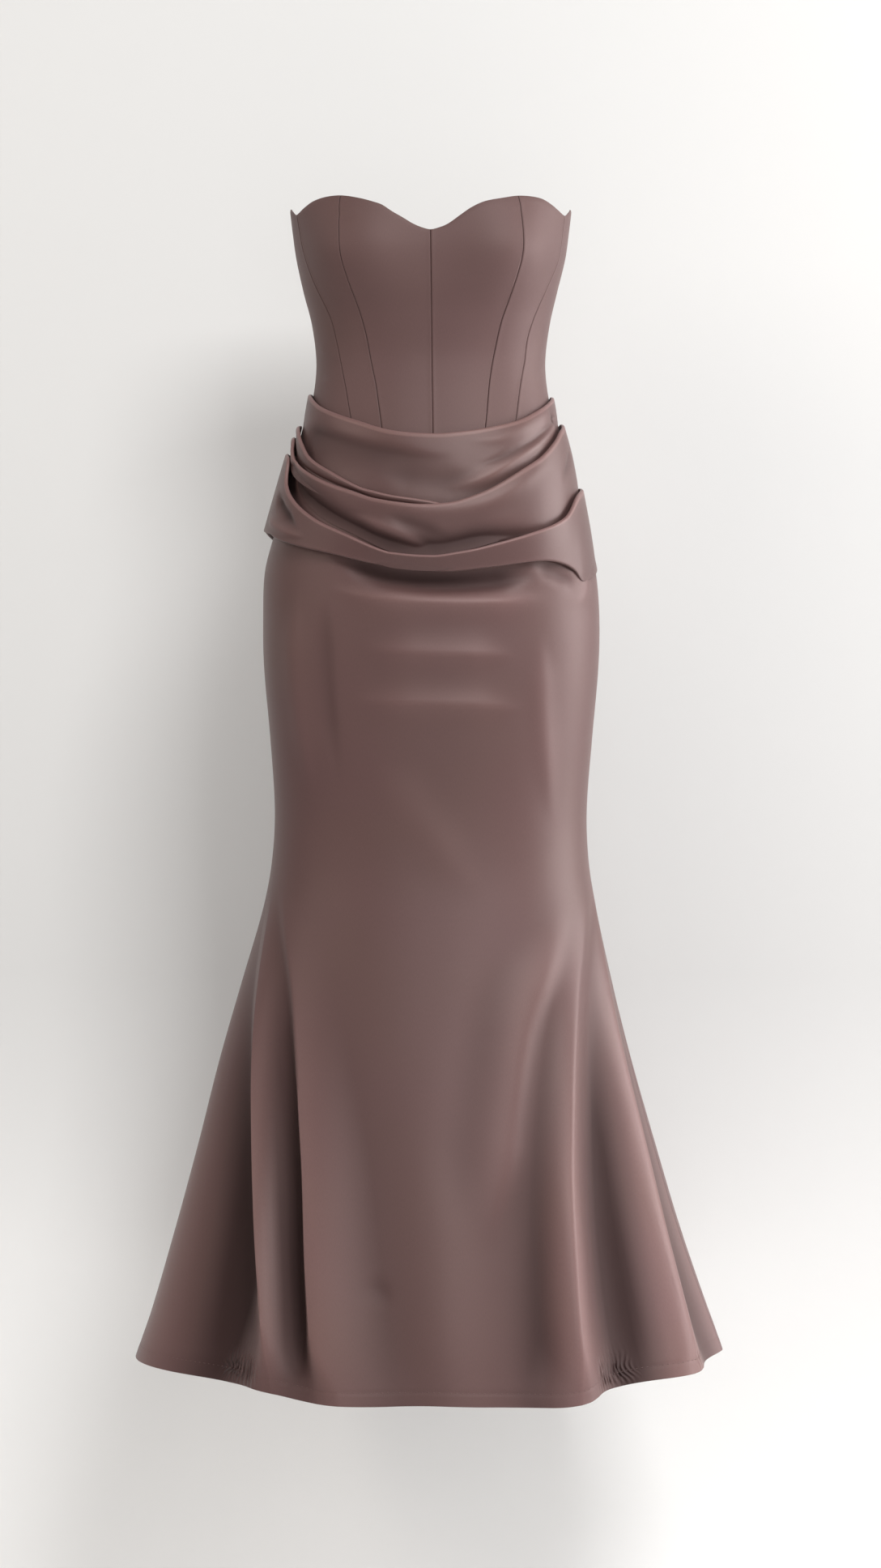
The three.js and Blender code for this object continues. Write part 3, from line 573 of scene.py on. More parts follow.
def bands(tree, place, direction, scale, **values):
    """Even bands, as of threads."""
    wave = node(tree, "ShaderNodeTexWave", wave_type="BANDS", bands_direction=direction, Vector=place,
                Scale=scale, **values)
    return wave.outputs["Fac"]


def ranged(tree, value, to_low, to_high, low=0.0, high=1.0):
    """A value taken from one range to another."""
    return node(tree, "ShaderNodeMapRange", value, low, high, to_low, to_high).outputs["Result"]


def two_tones(tree, value, dark, light):
    ramp = node(tree, "ShaderNodeValToRGB", value)
    ramp.color_ramp.elements[0].color = dark
    ramp.color_ramp.elements[1].color = light
    return ramp.outputs["Color"]


def maths(tree, operation, *values, **settings):
    return node(tree, "ShaderNodeMath", *values, operation=operation, **settings).outputs[0]


def colours(tree, operation, *values, **settings):
    return node(tree, "ShaderNodeVectorMath", *values, operation=operation, **settings).outputs[0]


def relief(tree, height, strength, depth, **values):
    """Fine relief that only bends the light."""
    bump_node = node(tree, "ShaderNodeBump", Strength=strength, Distance=depth, Height=height, **values)
    return bump_node.outputs["Normal"]


def linear(red, green, blue):
    def one(value):
        value /= 255
        return value / 12.92 if value <= 0.04045 else ((value + 0.055) / 1.055) ** 2.4
    return (one(red), one(green), one(blue), 1.0)


RIDGE_HIGHLIGHT = (1.36, 1.52, 1.54)  # what the colour is multiplied by on a lip or ridge, a painted highlight, and deep in a fold, a painted shade
HOLLOW_SHADE = (0.12, 0.035, 0.03)
HOLLOW_DULL = 0.3  # how much rougher the cloth is deep in a fold
SLUB_SHADE = 0.14  # how far the uneven threads change the colour
WEAVE_RELIEF = (0.16, 0.0003)  # strength and depth in metres
GATHER_RELIEF = (1.0, 0.003)
ROUGH_LESS, ROUGH_MORE = 0.04, 0.05
SHINE_TINT = (1.0, 0.86, 0.84, 1.0)
SHEEN_TINT = (1.0, 0.84, 0.82, 1.0)


def satin(name, brown, pink, roughness, sheen, weave=1.0):
    """Satin: warp and weft drawn on the cloth's own UV, two tones that change softly, a pink sheen, and
    painted shade in hollows and painted highlight on lips and ridges, read from the hollow attribute.
    """
    material, tree, shader = new_material(name)
    uv = cloth_place(tree)
    clouds = noise(tree, object_place(tree), Scale=7.0, Detail=2.0, Roughness=0.45)
    mix = node(tree, "ShaderNodeMix", data_type="RGBA", A=brown, B=pink,
               Factor=ranged(tree, clouds, 0, 1, 0.2, 0.8))
    tones = [socket for socket in mix.outputs if socket.type == "RGBA"][0]

    warp = bands(tree, uv, "X", 430.0, Distortion=1.2, Detail=1.0)
    weft = bands(tree, uv, "Y", 390.0, Distortion=0.8, Detail=1.0)
    slub = noise(tree, stretched(tree, uv, Scale=(6.0, 1.0, 1.0)), Scale=260.0, Detail=3.0)
    threads = maths(tree, "ADD", maths(tree, "ADD", warp, weft), slub)
    gathers = bands(tree, uv, "X", 46.0, Distortion=5.0, Detail=1.0, **{"Detail Scale": 0.6})
    gathered = maths(tree, "MULTIPLY", gathers, painted(tree, "pucker"))
    strength, depth = WEAVE_RELIEF
    normal = relief(tree, threads, strength * weave, depth, Normal=relief(tree, gathered, *GATHER_RELIEF))

    # painted shade and highlight: the colour is darkened where the cloth lies in a hollow and lightened where
    # it stands on a lip or ridge; the same value makes a hollow rougher
    hollow = painted(tree, "hollow")
    slope = [(deep - high) / 2 for deep, high in zip(HOLLOW_SHADE, RIDGE_HIGHLIGHT)]
    middle = [(deep + high) / 2 for deep, high in zip(HOLLOW_SHADE, RIDGE_HIGHLIGHT)]
    tones = colours(tree, "MULTIPLY", tones, colours(tree, "MULTIPLY_ADD", hollow, slope, middle))
    shade = ranged(tree, slub, 1.0 - SLUB_SHADE * weave, 1.0 + SLUB_SHADE * weave)
    tones = colours(tree, "SCALE", tones, Scale=shade)
    rough = ranged(tree, clouds, roughness - ROUGH_LESS, roughness + ROUGH_MORE)
    rough = maths(tree, "ADD", rough, ranged(tree, hollow, 0, HOLLOW_DULL), use_clamp=True)
    finish(tree, shader, Base_Color=tones, Normal=normal, Roughness=rough, Specular_IOR_Level=0.5,
           Specular_Tint=SHINE_TINT, Sheen_Weight=sheen, Sheen_Roughness=0.45, Sheen_Tint=SHEEN_TINT)
    return material


BODICE_SATIN = satin("mauve satin bodice", linear(98, 71, 67), linear(98, 69, 68), 0.56, 0.05, weave=1.1)
SKIRT_SATIN = satin("mauve satin skirt", linear(101, 73, 69), linear(101, 71, 70), 0.46, 0.04)
SASH_SATIN = satin("mauve satin sash", linear(94, 67, 63), linear(94, 65, 64), 0.42, 0.04)

# Bodice: seams are drawn in a little, as sewn seams are

BODICE_COLUMNS = 36
BODICE_ROWS = 96
SEAM_DIP = 1.0  # depth of the stitched line
SEAM_WIDE = 0.5
SEAM_RISE = 0.35  # how far the allowances inside push the cloth out beside it
SEAM_PRESS = 3.2  # how far beside it that can be seen
SEAM_SHADE = 0.45  # depth at which the painted shade in a stitched line is as dark as at the foot of a fold
EDGE_CROWD = 0.18  # how much closer the columns are at the seams
START_HEIGHT = 60.0  # height where a column is first looked for
SETTLE_ROUNDS = 5
NECK_ROLL = 0.8  # how far the turned top edge rolls inward
NECK_ROLL_TALL = 1.6


def seam_lines(angle, start, end, radius):
    """The stitched line at both edges of a panel, and the cloth pushed out a little beside it."""
    arc = np.minimum(angle - start, end - angle) * np.radians(radius)
    return SEAM_RISE * bump(arc / SEAM_PRESS) - SEAM_DIP * bump(arc / SEAM_WIDE)


def bodice_panel(name, start, end):
    """One panel between two seams, from the neck edge down to the waist."""
    share = np.linspace(0, 1, BODICE_COLUMNS + 1)
    share = 0.5 - 0.5 * np.cos(np.pi * share) * (1 - EDGE_CROWD * np.sin(np.pi * share))
    across, down = np.meshgrid(share, np.linspace(0, 1, BODICE_ROWS + 1))
    z = np.full(across.shape, START_HEIGHT)
    for settle in range(SETTLE_ROUNDS):
        first = along(SEAMS[start], z)
        last = along(SEAMS[end], z)
        angle = first + (last - first) * across
        top = along(NECK, angle)
        z = top + (WAIST_JOIN - top) * down
    radius = body(angle, z)
    seams = seam_lines(angle, first, last, radius)
    lift = line_folds(BODICE_LINES, angle, z)
    rolled = NECK_ROLL * bump((top - z) / NECK_ROLL_TALL)
    grid = placed(angle, z, radius + seams + lift - rolled)
    # painted shade in the stitched lines, darker the deeper they are drawn in
    dark = np.clip(-seams / SEAM_SHADE, 0, 1)
    shell(name, grid, SHELL, BODICE_SATIN, dark)


for panel in BODICE:
    bodice_panel(*panel)

# Skirt: the columns of its grid lean with the folds

ROW_BANDS = [(0, 8), (0.08, 62), (0.31, 20), (0.45, 78), (0.975, 14), (1, 0)]  # share down the skirt, rows
SKIRT_ROWS = np.concatenate([
    np.linspace(top, foot, count)[:-1]
    for (top, count), (foot, below) in zip(ROW_BANDS, ROW_BANDS[1:])
] + [[1.0]])
HEM_STITCH = 14  # height of the hem's stitch line above the edge
FOLD_EDGE = 5  # least angle between a fold followed by the grid and the edge of its panel
SEAM_COLUMNS = (0.1, 0.22, 0.4, 0.75)  # angles of the columns next to a seam
CLOSE_SPANS = ("left valley", "right ridge")  # folds after which the columns are closer, for the puckers
CLOSER = 3
HEM_SHARE = 0.6  # columns are shared out by the folds' widths at the hem, and the rest at the knee
STITCH_DIP = (0.35, 1.6)  # depth and height of the hem's stitch line
TURNED_OUT = 0.15  # how far the turned hem pushes the cloth out
NEAR_HOLLOWS = (0.5, 150, 7.0)  # share, rounds of evening out, and depth at which the painted shade is full; ridges get a painted highlight
WIDE_HOLLOWS = (0.45, 900, 14.0)
# how strong the painted shade in the puckers' creases is
CREASE_SHADE = 0.3

# Puckers along the hem: first and last angle, and how strong they are
PUCKERS = [(-57, -42, 1.0), (41, 56, 1.0), (66, 76, 0.5), (-168, -150, 0.6),
           (-128, -114, 0.5), (110, 124, 0.4), (140, 156, 0.6)]
PUCKER_LONG = 8.0  # from one pucker to the next
PUCKER_DRIFT = 43.0  # length over which their spacing drifts
PUCKER_SWING = 1.9
PUCKER_DEEP = 2.2
PUCKER_TALL = (15, 9)  # how far they reach above and below the stitch line
PUCKER_FADE = 3  # degrees over which a run of them starts and ends
SHAPED_FADE = 1.5
PUCKER_SHAPED = [(-54.5, -44.8), (38, 54.5)]  # angles where the grid is close enough to shape them


def puckered(angle, above):
    """How strongly the hem is gathered at its stitch line."""
    tall = np.where(above > HEM_STITCH, *PUCKER_TALL)
    out = np.zeros(np.broadcast(angle, above).shape)
    for first, last, strength in PUCKERS:
        out += strength * eased((angle - first) / PUCKER_FADE) * eased((last - angle) / PUCKER_FADE)
    return out * bump((above - HEM_STITCH) / tall)


def puckers(angle, above, radius):
    """Short creases drawn across the stitch line where the hem was eased in."""
    run = np.radians(angle) * radius
    drift = PUCKER_SWING * np.sin(2 * np.pi * run / PUCKER_DRIFT)
    wave = np.sin(2 * np.pi * run / PUCKER_LONG + drift)
    shaped = np.zeros(wave.shape)
    for first, last in PUCKER_SHAPED:
        shaped += eased((angle - first) / SHAPED_FADE) * eased((last - angle) / SHAPED_FADE)
    creased = -np.clip(wave, 0, 1) ** 2
    return PUCKER_DEEP * creased * shaped * puckered(angle, above)


def skirt_angles(start, end, count, z):
    """Angles of the grid: its columns run down the folds, and are closest where the folds are."""
    low, high = start + FOLD_EDGE, end - FOLD_EDGE
    folds = [fold for fold in FOLDS if low < min(fold[3]) and max(fold[3]) < high]
    hems = [start] + [fold[3][-1] for fold in folds] + [end]
    knees = [start] + [fold[3][0] for fold in folds] + [end]
    spans = HEM_SHARE * np.diff(hems) + (1 - HEM_SHARE) * np.diff(knees)
    counts = np.maximum(3, np.rint(count * spans / spans.sum())).astype(int)
    closer = [False] + [fold[0] in CLOSE_SPANS for fold in folds]
    counts = np.where(closer, CLOSER * counts, counts)
    edges = np.full(z.shape, float(start)), np.full(z.shape, float(end))
    places = [edges[0]] + [down_fold(fold[3], z) for fold in folds] + [edges[1]]
    columns = []
    for first, last, steps in zip(places, places[1:], counts):
        columns += [first + (last - first) * k / steps for k in range(steps)]
    near_start = [places[0] + step for step in SEAM_COLUMNS]
    near_end = [places[-1] - step for step in reversed(SEAM_COLUMNS)]
    columns = columns[:1] + near_start + columns[2:-1] + near_end + [places[-1]]
    return np.stack(columns, axis=-1)


def skirt_panel(name, start, end, count):
    """One panel of the skirt, from the waist down to the stitched hem."""
    share = SKIRT_ROWS[:, None]
    angle = skirt_angles(start, end, count, WAIST_JOIN + (HEM - WAIST_JOIN) * SKIRT_ROWS)
    hem = along(HEM_EDGE, angle[-1])[None, :]
    z = WAIST_JOIN + (hem - WAIST_JOIN) * share
    lift = flutes(angle, z) + line_folds(SKIRT_LINES, angle, z)
    above = z - hem
    deep, tall = STITCH_DIP
    stitch = -deep * bump((above - HEM_STITCH) / tall) + TURNED_OUT * (above < HEM_STITCH)
    plain = body(angle, z)
    creases = puckers(angle, above, plain)
    fine = stitch + creases + seam_lines(angle, start, end, plain)
    grid = placed(angle, z, plain + lift + fine)
    # painted shade in the puckers' creases and the folds' valleys, and painted highlight on the folds' ridges
    hollow = -CREASE_SHADE * creases
    for part, rounds, dark in (NEAR_HOLLOWS, WIDE_HOLLOWS):
        hollow += part * hollows(lift, rounds, dark)
    shell(name, grid, SHELL, SKIRT_SATIN,
          np.clip(hollow, -1, 1),
          pucker=puckered(angle, above))


for span in SKIRT_SPANS:
    skirt_panel(*span)

# Sash: each pleat is folded over at its top edge and runs down under the next

BEHIND = (17, 11, 6, 3)  # depths of the fold behind the top edge
FRONT_SHARES = np.concatenate([np.linspace(0, 0.2, 9)[1:], np.linspace(0.2, 1, 30)[1:]])
UNROLLED = 6
HEM_ROLL = 2.2  # radius of the turned bottom edge of the lowest pleat
LEAST_ROLL = 0.3
HEM_TURN = (5, 12)  # how far up that edge is turned under
FOOT_FALL = 0.2  # share of its stand-off that a pleat keeps where the next one covers it
FALL_POWER = 0.8
TUCK_STEPS = (0.3, 0.65, 1.0)
BACK_LEAN = 0.08  # how fast the fold behind the top edge leans inward
HEM_LEAN = 0.02
PLEAT_HOLLOWS = (60, 6.0)  # rounds of evening out, and depth at which the painted shade is full
LINE_SHADE = 14  # height of a laid line that is one whole step of painted shade, or of painted highlight where it stands out


def round_dress(values, angle):
    """How far a pleat's top edge stands off, round the dress."""
    left, front, right, back = values
    left_side = [(-125, 0.8 * back), (-104, 0.4 * left), (-92, 0.75 * left), (-84, 0.9 * left), (-72, left)]
    right_side = [(75, right), (88, 0.85 * right), (102, 0.7 * right)]
    middle = [(-60, left), (-10, front), (45, front)]
    return along([(-180, back), *left_side, *middle, *right_side, (180, back)], angle)


def foot_offset(pleat, angle):
    """How far the lowest pleat's bottom edge stands off."""
    left, front, right, back = pleat["foot"]
    left_side = [(-110, (left + back) / 2), (-85, left)]
    middle = [(-60, left), (-10, front), (45, front)]
    return along([(-180, back), *left_side, *middle, (75, right), (95, right), (180, back)], angle)


def pleat_offset(pleat, angle, share):
    """How far a pleat stands off at a share of its way down: it falls in towards its level."""
    lip = round_dress(pleat["lip"], angle)
    if "foot" in pleat:
        return lip + (foot_offset(pleat, angle) - lip) * share
    fall = FOOT_FALL + (1 - FOOT_FALL) * np.cos(np.clip(share, 0, 1) * np.pi / 2) ** FALL_POWER
    return pleat["level"] + (lip - pleat["level"]) * fall


def pleat_part(pleat, part, start, end, count):
    """One piece of a pleat: the fold behind, the rolled top edge, the front, and the tuck or turned hem."""
    angles = np.linspace(start, end, count + 1)
    steps = np.array(SEAM_COLUMNS)
    angles = np.concatenate([[start], start + steps, angles[1:-1], end - steps[::-1], [end]])
    top = along(pleat["top"], angles)
    bottom = along(pleat["next"], angles)
    lip = round_dress(pleat["lip"], angles)
    rows = []
    for depth in BEHIND:
        rows.append((top - depth, lip - 2 * ROLL - BACK_LEAN * depth))
    for k in range(UNROLLED + 1):
        turn = np.pi * k / UNROLLED
        rows.append((top - ROLL + ROLL * np.sin(turn), lip - ROLL - ROLL * np.cos(turn)))
    for share in FRONT_SHARES:
        z = top - ROLL + (bottom - top + ROLL) * share
        rows.append((z, pleat_offset(pleat, angles, share)))
    shown = len(rows)
    if "foot" in pleat:
        foot = np.maximum(rows[-1][1], FLUSH + 2 * LEAST_ROLL)
        roll = np.clip((foot - FLUSH) / 2, LEAST_ROLL, HEM_ROLL)
        for k in range(1, UNROLLED + 1):
            turn = np.pi * k / UNROLLED
            rows.append((bottom - roll * np.sin(turn), foot - roll + roll * np.cos(turn)))
        for depth in HEM_TURN:
            rows.append((bottom + depth, foot - 2 * roll - HEM_LEAN * depth))
    else:
        foot = rows[-1][1]
        for depth in TUCK_STEPS:
            rows.append((bottom - pleat["tuck"] * depth, foot + (pleat["level"] - foot) * depth))
    z = np.stack([row[0] for row in rows])
    out = np.stack([row[1] for row in rows])
    angle = np.broadcast_to(angles, z.shape)
    index = np.arange(len(rows))[:, None]
    half_rolled = len(BEHIND) + UNROLLED // 2
    in_front = (index >= half_rolled) & (index < shown + len(TUCK_STEPS))
    lift = line_folds(pleat["lines"], angle, z) * in_front
    out = np.where(index < shown, np.maximum(out + lift, FLUSH), out + lift)
    plain = body(angle, z)
    grid = placed(angle, z, plain + out + seam_lines(angle, start, end, plain) * (index < shown))
    name = f"{pleat['name']}_{part}"
    # painted shade under each lip and in sunk lines, painted highlight on raised lines, and a full painted
    # highlight along the rolled top edge
    hollow = np.clip(hollows(out, *PLEAT_HOLLOWS) - lift / LINE_SHADE, -1, 1)
    hollow[half_rolled - 1:len(BEHIND) + UNROLLED + 2] = -1
    shell(name, grid, PLEAT_SHELL, SASH_SATIN,
          hollow)


for pleat in PLEATS:
    for span in [THIN_SPAN] if pleat["name"] == "sash_thin" else SASH_SPANS:
        pleat_part(pleat, *span)

# Zip of the centre back: two woven tapes with their coils inside the lips, the slider and its pull tab

TAPE_TOP = 131
TAPE_FOOT = -262
TAPE_WIDE = 10.4  # width of one tape
TAPE_GAP = 0.35  # from the middle to its edge
TAPE_IN = 2.8  # how far the tape lies inside the face of the cloth
TAPE_THICK = 0.5
TAPE_CURVE = 0.004  # how fast it bends inward with the body, away from its edge
TAPE_ROWS, TAPE_COLUMNS = 90, 7
COIL_IN = 4.3  # how far inside the middle of the coil lies
COIL_OUT = 0.55  # from the middle of the closure to the middle of a coil
COIL_BELOW = 4  # how far below the top of the tape it starts
COIL_PITCH = 1.5
COIL_SIZE = (0.95, 0.55)  # half width and half depth of a turn
COIL_WIRE = 0.26
COIL_STEPS = 8  # points of one turn
COIL_SIDES = 5


def zip_tape_material():
    material, tree, shader = new_material("woven zip tape")
    turned = stretched(tree, cloth_place(tree), Rotation=(0, 0, math.radians(45)))
    ribs = bands(tree, turned, "X", 420.0, Distortion=0.3)
    finish(tree, shader, Base_Color=two_tones(tree, ribs, linear(74, 56, 55), linear(96, 75, 73)),
           Normal=relief(tree, ribs, 0.4, 0.0002), Roughness=0.8, Sheen_Weight=0.15)
    return material


def zip_coil_material():
    material, tree, shader = new_material("dyed zip coil")
    dye = noise(tree, object_place(tree), Scale=90.0, Detail=2.0)
    finish(tree, shader, Base_Color=two_tones(tree, dye, linear(82, 62, 61), linear(104, 80, 78)),
           Roughness=0.38)
    return material


def zip_metal_material():
    material, tree, shader = new_material("brushed zip metal")
    brushed = stretched(tree, object_place(tree), Scale=(2500.0, 2500.0, 160.0))
    grain = noise(tree, brushed, Scale=1.0, Detail=3.0)
    finish(tree, shader, Base_Color=two_tones(tree, grain, linear(112, 92, 86), linear(158, 134, 126)),
           Roughness=ranged(tree, grain, 0.24, 0.42), Normal=relief(tree, grain, 0.15, 0.00005), Metallic=1.0)
    return material


ZIP_TAPE_CLOTH = zip_tape_material()
ZIP_COIL = zip_coil_material()
ZIP_METAL = zip_metal_material()


def face_radius(angle, z):
    """Distance of the face of the bodice or the skirt from the axis."""
    skirt = z < WAIST_JOIN
    skirt_lift = flutes(angle, z) + line_folds(SKIRT_LINES, angle, z)
    lift = np.where(skirt, skirt_lift, line_folds(BODICE_LINES, angle, z))
    return body(angle, z) + lift


def zip_tape(side, hand):
    """One tape, whose inner edge lies beside the middle of the closure."""
    heights = np.linspace(TAPE_TOP, TAPE_FOOT, TAPE_ROWS)
    down, across = np.meshgrid(heights, np.linspace(0, 1, TAPE_COLUMNS), indexing="ij")
    if hand < 0:
        across = 1 - across
    radius = face_radius(np.full(down.shape, 180.0), down) - TAPE_IN
    reach = TAPE_GAP + TAPE_WIDE * across
    grid = np.stack([hand * reach, radius - TAPE_CURVE * reach**2, down], axis=-1)
    shell(f"zip_tape_{side}", grid[:, ::-1], TAPE_THICK, ZIP_TAPE_CLOTH,
          np.zeros(down.shape), stands_for="zip_tape")


def zip_coil(side, hand):
    """One nylon wire wound along the edge of a tape, its turns set between those of the other."""
    top = TAPE_TOP - COIL_BELOW
    count = int((top - TAPE_FOOT - 2 * COIL_BELOW) / COIL_PITCH * COIL_STEPS)
    turn = 2 * np.pi * np.arange(count + 1) / COIL_STEPS
    z = top - COIL_PITCH * (turn / (2 * np.pi) + (0.5 if hand > 0 else 0))
    radius = face_radius(np.full(z.shape, 180.0), z) - COIL_IN
    reach = COIL_OUT + COIL_SIZE[0] * np.cos(turn)
    middle = np.stack([hand * reach, radius + COIL_SIZE[1] * np.sin(turn), z], axis=-1)
    ahead = np.gradient(middle, axis=0)
    ahead /= np.linalg.norm(ahead, axis=-1, keepdims=True)
    side_way = np.cross(ahead, [0.0, 0.0, 1.0])
    side_way /= np.linalg.norm(side_way, axis=-1, keepdims=True)
    up_way = np.cross(side_way, ahead)
    rings = []
    for k in range(COIL_SIDES):
        spin = 2 * np.pi * k / COIL_SIDES
        rings.append(middle + COIL_WIRE * (side_way * math.cos(spin) + up_way * math.sin(spin)))
    points = np.stack(rings, axis=1).reshape(-1, 3)
    faces = []
    for j in range(count):
        for k in range(COIL_SIDES):
            a = j * COIL_SIDES + k
            b = j * COIL_SIDES + (k + 1) % COIL_SIDES
            faces.append((a, b, b + COIL_SIDES, a + COIL_SIDES))
    faces.append(tuple(reversed(range(COIL_SIDES))))
    faces.append(tuple(count * COIL_SIDES + k for k in range(COIL_SIDES)))
    obj = mesh_object(f"zip_coil_{side}", (points * MM).tolist(), faces, ZIP_COIL)
    hand_over(obj, "gown")


FACING = 0.9  # least share of a face's direction that counts as facing that way
ROW_NEAR = 0.02


def start_block(name, low, high):
    """A cube between two corners in millimetres, in edit mode with nothing selected."""
    size = [(b - a) * MM for a, b in zip(low, high)]
    place = [(a + b) / 2 * MM for a, b in zip(low, high)]
    bpy.ops.object.select_all(action="DESELECT")
    bpy.ops.mesh.primitive_cube_add(size=1, location=place)
    obj = bpy.context.object
    obj.name = name
    obj.scale = size
    bpy.ops.object.transform_apply(location=True, rotation=True, scale=True)
    bpy.ops.object.mode_set(mode="EDIT")
    bpy.ops.mesh.select_mode(type="FACE")
    bpy.ops.mesh.select_all(action="DESELECT")
    return obj


def pick_faces(obj, test):
    """In edit mode, selects the faces whose middle (in millimetres) and direction pass the test."""
    bpy.ops.mesh.select_mode(type="FACE")
    bpy.ops.mesh.select_all(action="DESELECT")
    cells = bmesh.from_edit_mesh(obj.data)
    for face in cells.faces:
        middle = face.calc_center_median() / MM
        face.select_set(bool(test(middle, face.normal)))
    bmesh.update_edit_mesh(obj.data)


def pick_row(obj, z):
    """In edit mode, selects the points at one height."""
    bpy.ops.mesh.select_mode(type="VERT")
    bpy.ops.mesh.select_all(action="DESELECT")
    cells = bmesh.from_edit_mesh(obj.data)
    for vertex in cells.verts:
        vertex.select_set(abs(vertex.co.z / MM - z) < ROW_NEAR)
    cells.select_flush_mode()
    bmesh.update_edit_mesh(obj.data)


def cut_across(place, normal):
    """Cuts the whole piece at a plane."""
    bpy.ops.mesh.select_all(action="SELECT")
    bpy.ops.mesh.bisect(plane_co=[value * MM for value in place], plane_no=normal)


METAL_CREASE = 40  # degrees past which an edge of the metal stays sharp
METAL_EDGE = 35  # degrees past which it is rounded
SLIDER_ROUND = 0.22
TAB_ROUND = 0.12


def rounded_edges(obj, width, segments=2):
    bpy.ops.object.mode_set(mode="OBJECT")
    bevel = obj.modifiers.new("rounded edges", "BEVEL")
    bevel.width = width * MM
    bevel.segments = segments
    bevel.limit_method = "ANGLE"
    bevel.angle_limit = math.radians(METAL_EDGE)
    bpy.context.view_layer.objects.active = obj
    bpy.ops.object.modifier_apply(modifier=bevel.name)
    smooth_by_angle(obj, METAL_CREASE)


SLIDER_HALF = 3  # half width of its body, which is SLIDER_DEEP from the inner face to the outer
SLIDER_DEEP = 2.4
SLIDER_FOOT = 1.6  # height of the part that narrows to the foot
SLIDER_ROWS = [(0.68, 0.9), (0.76, 1), (0.92, 1)]  # its width and depth at the foot, above it and half way up
SLIDER_MOUTH = (0.6, 0.5)  # border and depth of the sunk top
BRIDGE_HALF, BRIDGE_DEEP, BRIDGE_TALL = 0.7, 3.7, 3
BRIDGE_BAR = 0.85  # thickness of the metal round the bridge's opening
NECK_HALF, NECK_TALL = 0.6, 2.2
NECK_SUNK = (0.4, 3.2)  # how far the neck reaches into the body, and stays short of the bridge's face


def zip_slider():
    """Body inside the lips, a neck between them and a bridge that the pull tab hangs on."""
    low, high = [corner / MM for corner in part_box("zip_slider")]
    middle = (low.z + high.z) / 2
    inside = low.y + SLIDER_DEEP
    rows = (low.z, low.z + SLIDER_FOOT, middle)
    slider = start_block("zip_slider_metal", (-SLIDER_HALF, low.y, low.z), (SLIDER_HALF, inside, high.z))
    for z in reversed(rows[1:]):
        cut_across((0, 0, z), (0, 0, 1))
    for z, (wide, deep) in zip(rows, SLIDER_ROWS):
        pick_row(slider, z)
        bpy.ops.transform.resize(value=(wide, deep, 1))
    pick_faces(slider, lambda place, way: way.z > FACING)
    border, depth = SLIDER_MOUTH
    bpy.ops.mesh.inset(thickness=border * MM, depth=0)
    bpy.ops.mesh.extrude_region_move(TRANSFORM_OT_translate={"value": (0, 0, -depth * MM)})
    bpy.ops.object.mode_set(mode="OBJECT")
    bridge = start_block("zip_bridge", (-BRIDGE_HALF, high.y - BRIDGE_DEEP, middle - BRIDGE_TALL),
                         (BRIDGE_HALF, high.y, middle + BRIDGE_TALL))
    pick_faces(bridge, lambda place, way: abs(way.x) > FACING)
    bpy.ops.mesh.inset(thickness=BRIDGE_BAR * MM, depth=0, use_individual=True)
    bpy.ops.mesh.bridge_edge_loops()
    bpy.ops.object.mode_set(mode="OBJECT")
    neck = start_block("zip_neck", (-NECK_HALF, inside - NECK_SUNK[0], middle - NECK_TALL),
                       (NECK_HALF, high.y - NECK_SUNK[1], middle + NECK_TALL))
    bpy.ops.object.mode_set(mode="OBJECT")
    bpy.ops.object.select_all(action="DESELECT")
    for obj in (neck, bridge, slider):
        obj.select_set(True)
    bpy.context.view_layer.objects.active = slider
    bpy.ops.object.join()
    rounded_edges(slider, SLIDER_ROUND)
    slider.data.materials.append(ZIP_METAL)
    hand_over(slider, "gown", "zip_slider")


TAB_WINDOW = (0.9, 4.65)  # from the top of the tab to the top and the foot of its window
TAB_WINDOW_HALF = 1.2
TAB_TOP_HALF = 2.8
TAB_FOOT = 0.32  # width of its lowest row, as a share of the round foot
TAB_TURNS = (22.5, 45, 67.5)  # degrees round the foot where it is cut
TAB_GRIP = 6.5  # how far down the sunk panel starts
TAB_PANEL = (0.75, 0.12, 0.14)  # its border, the width of its sloping edge and its depth


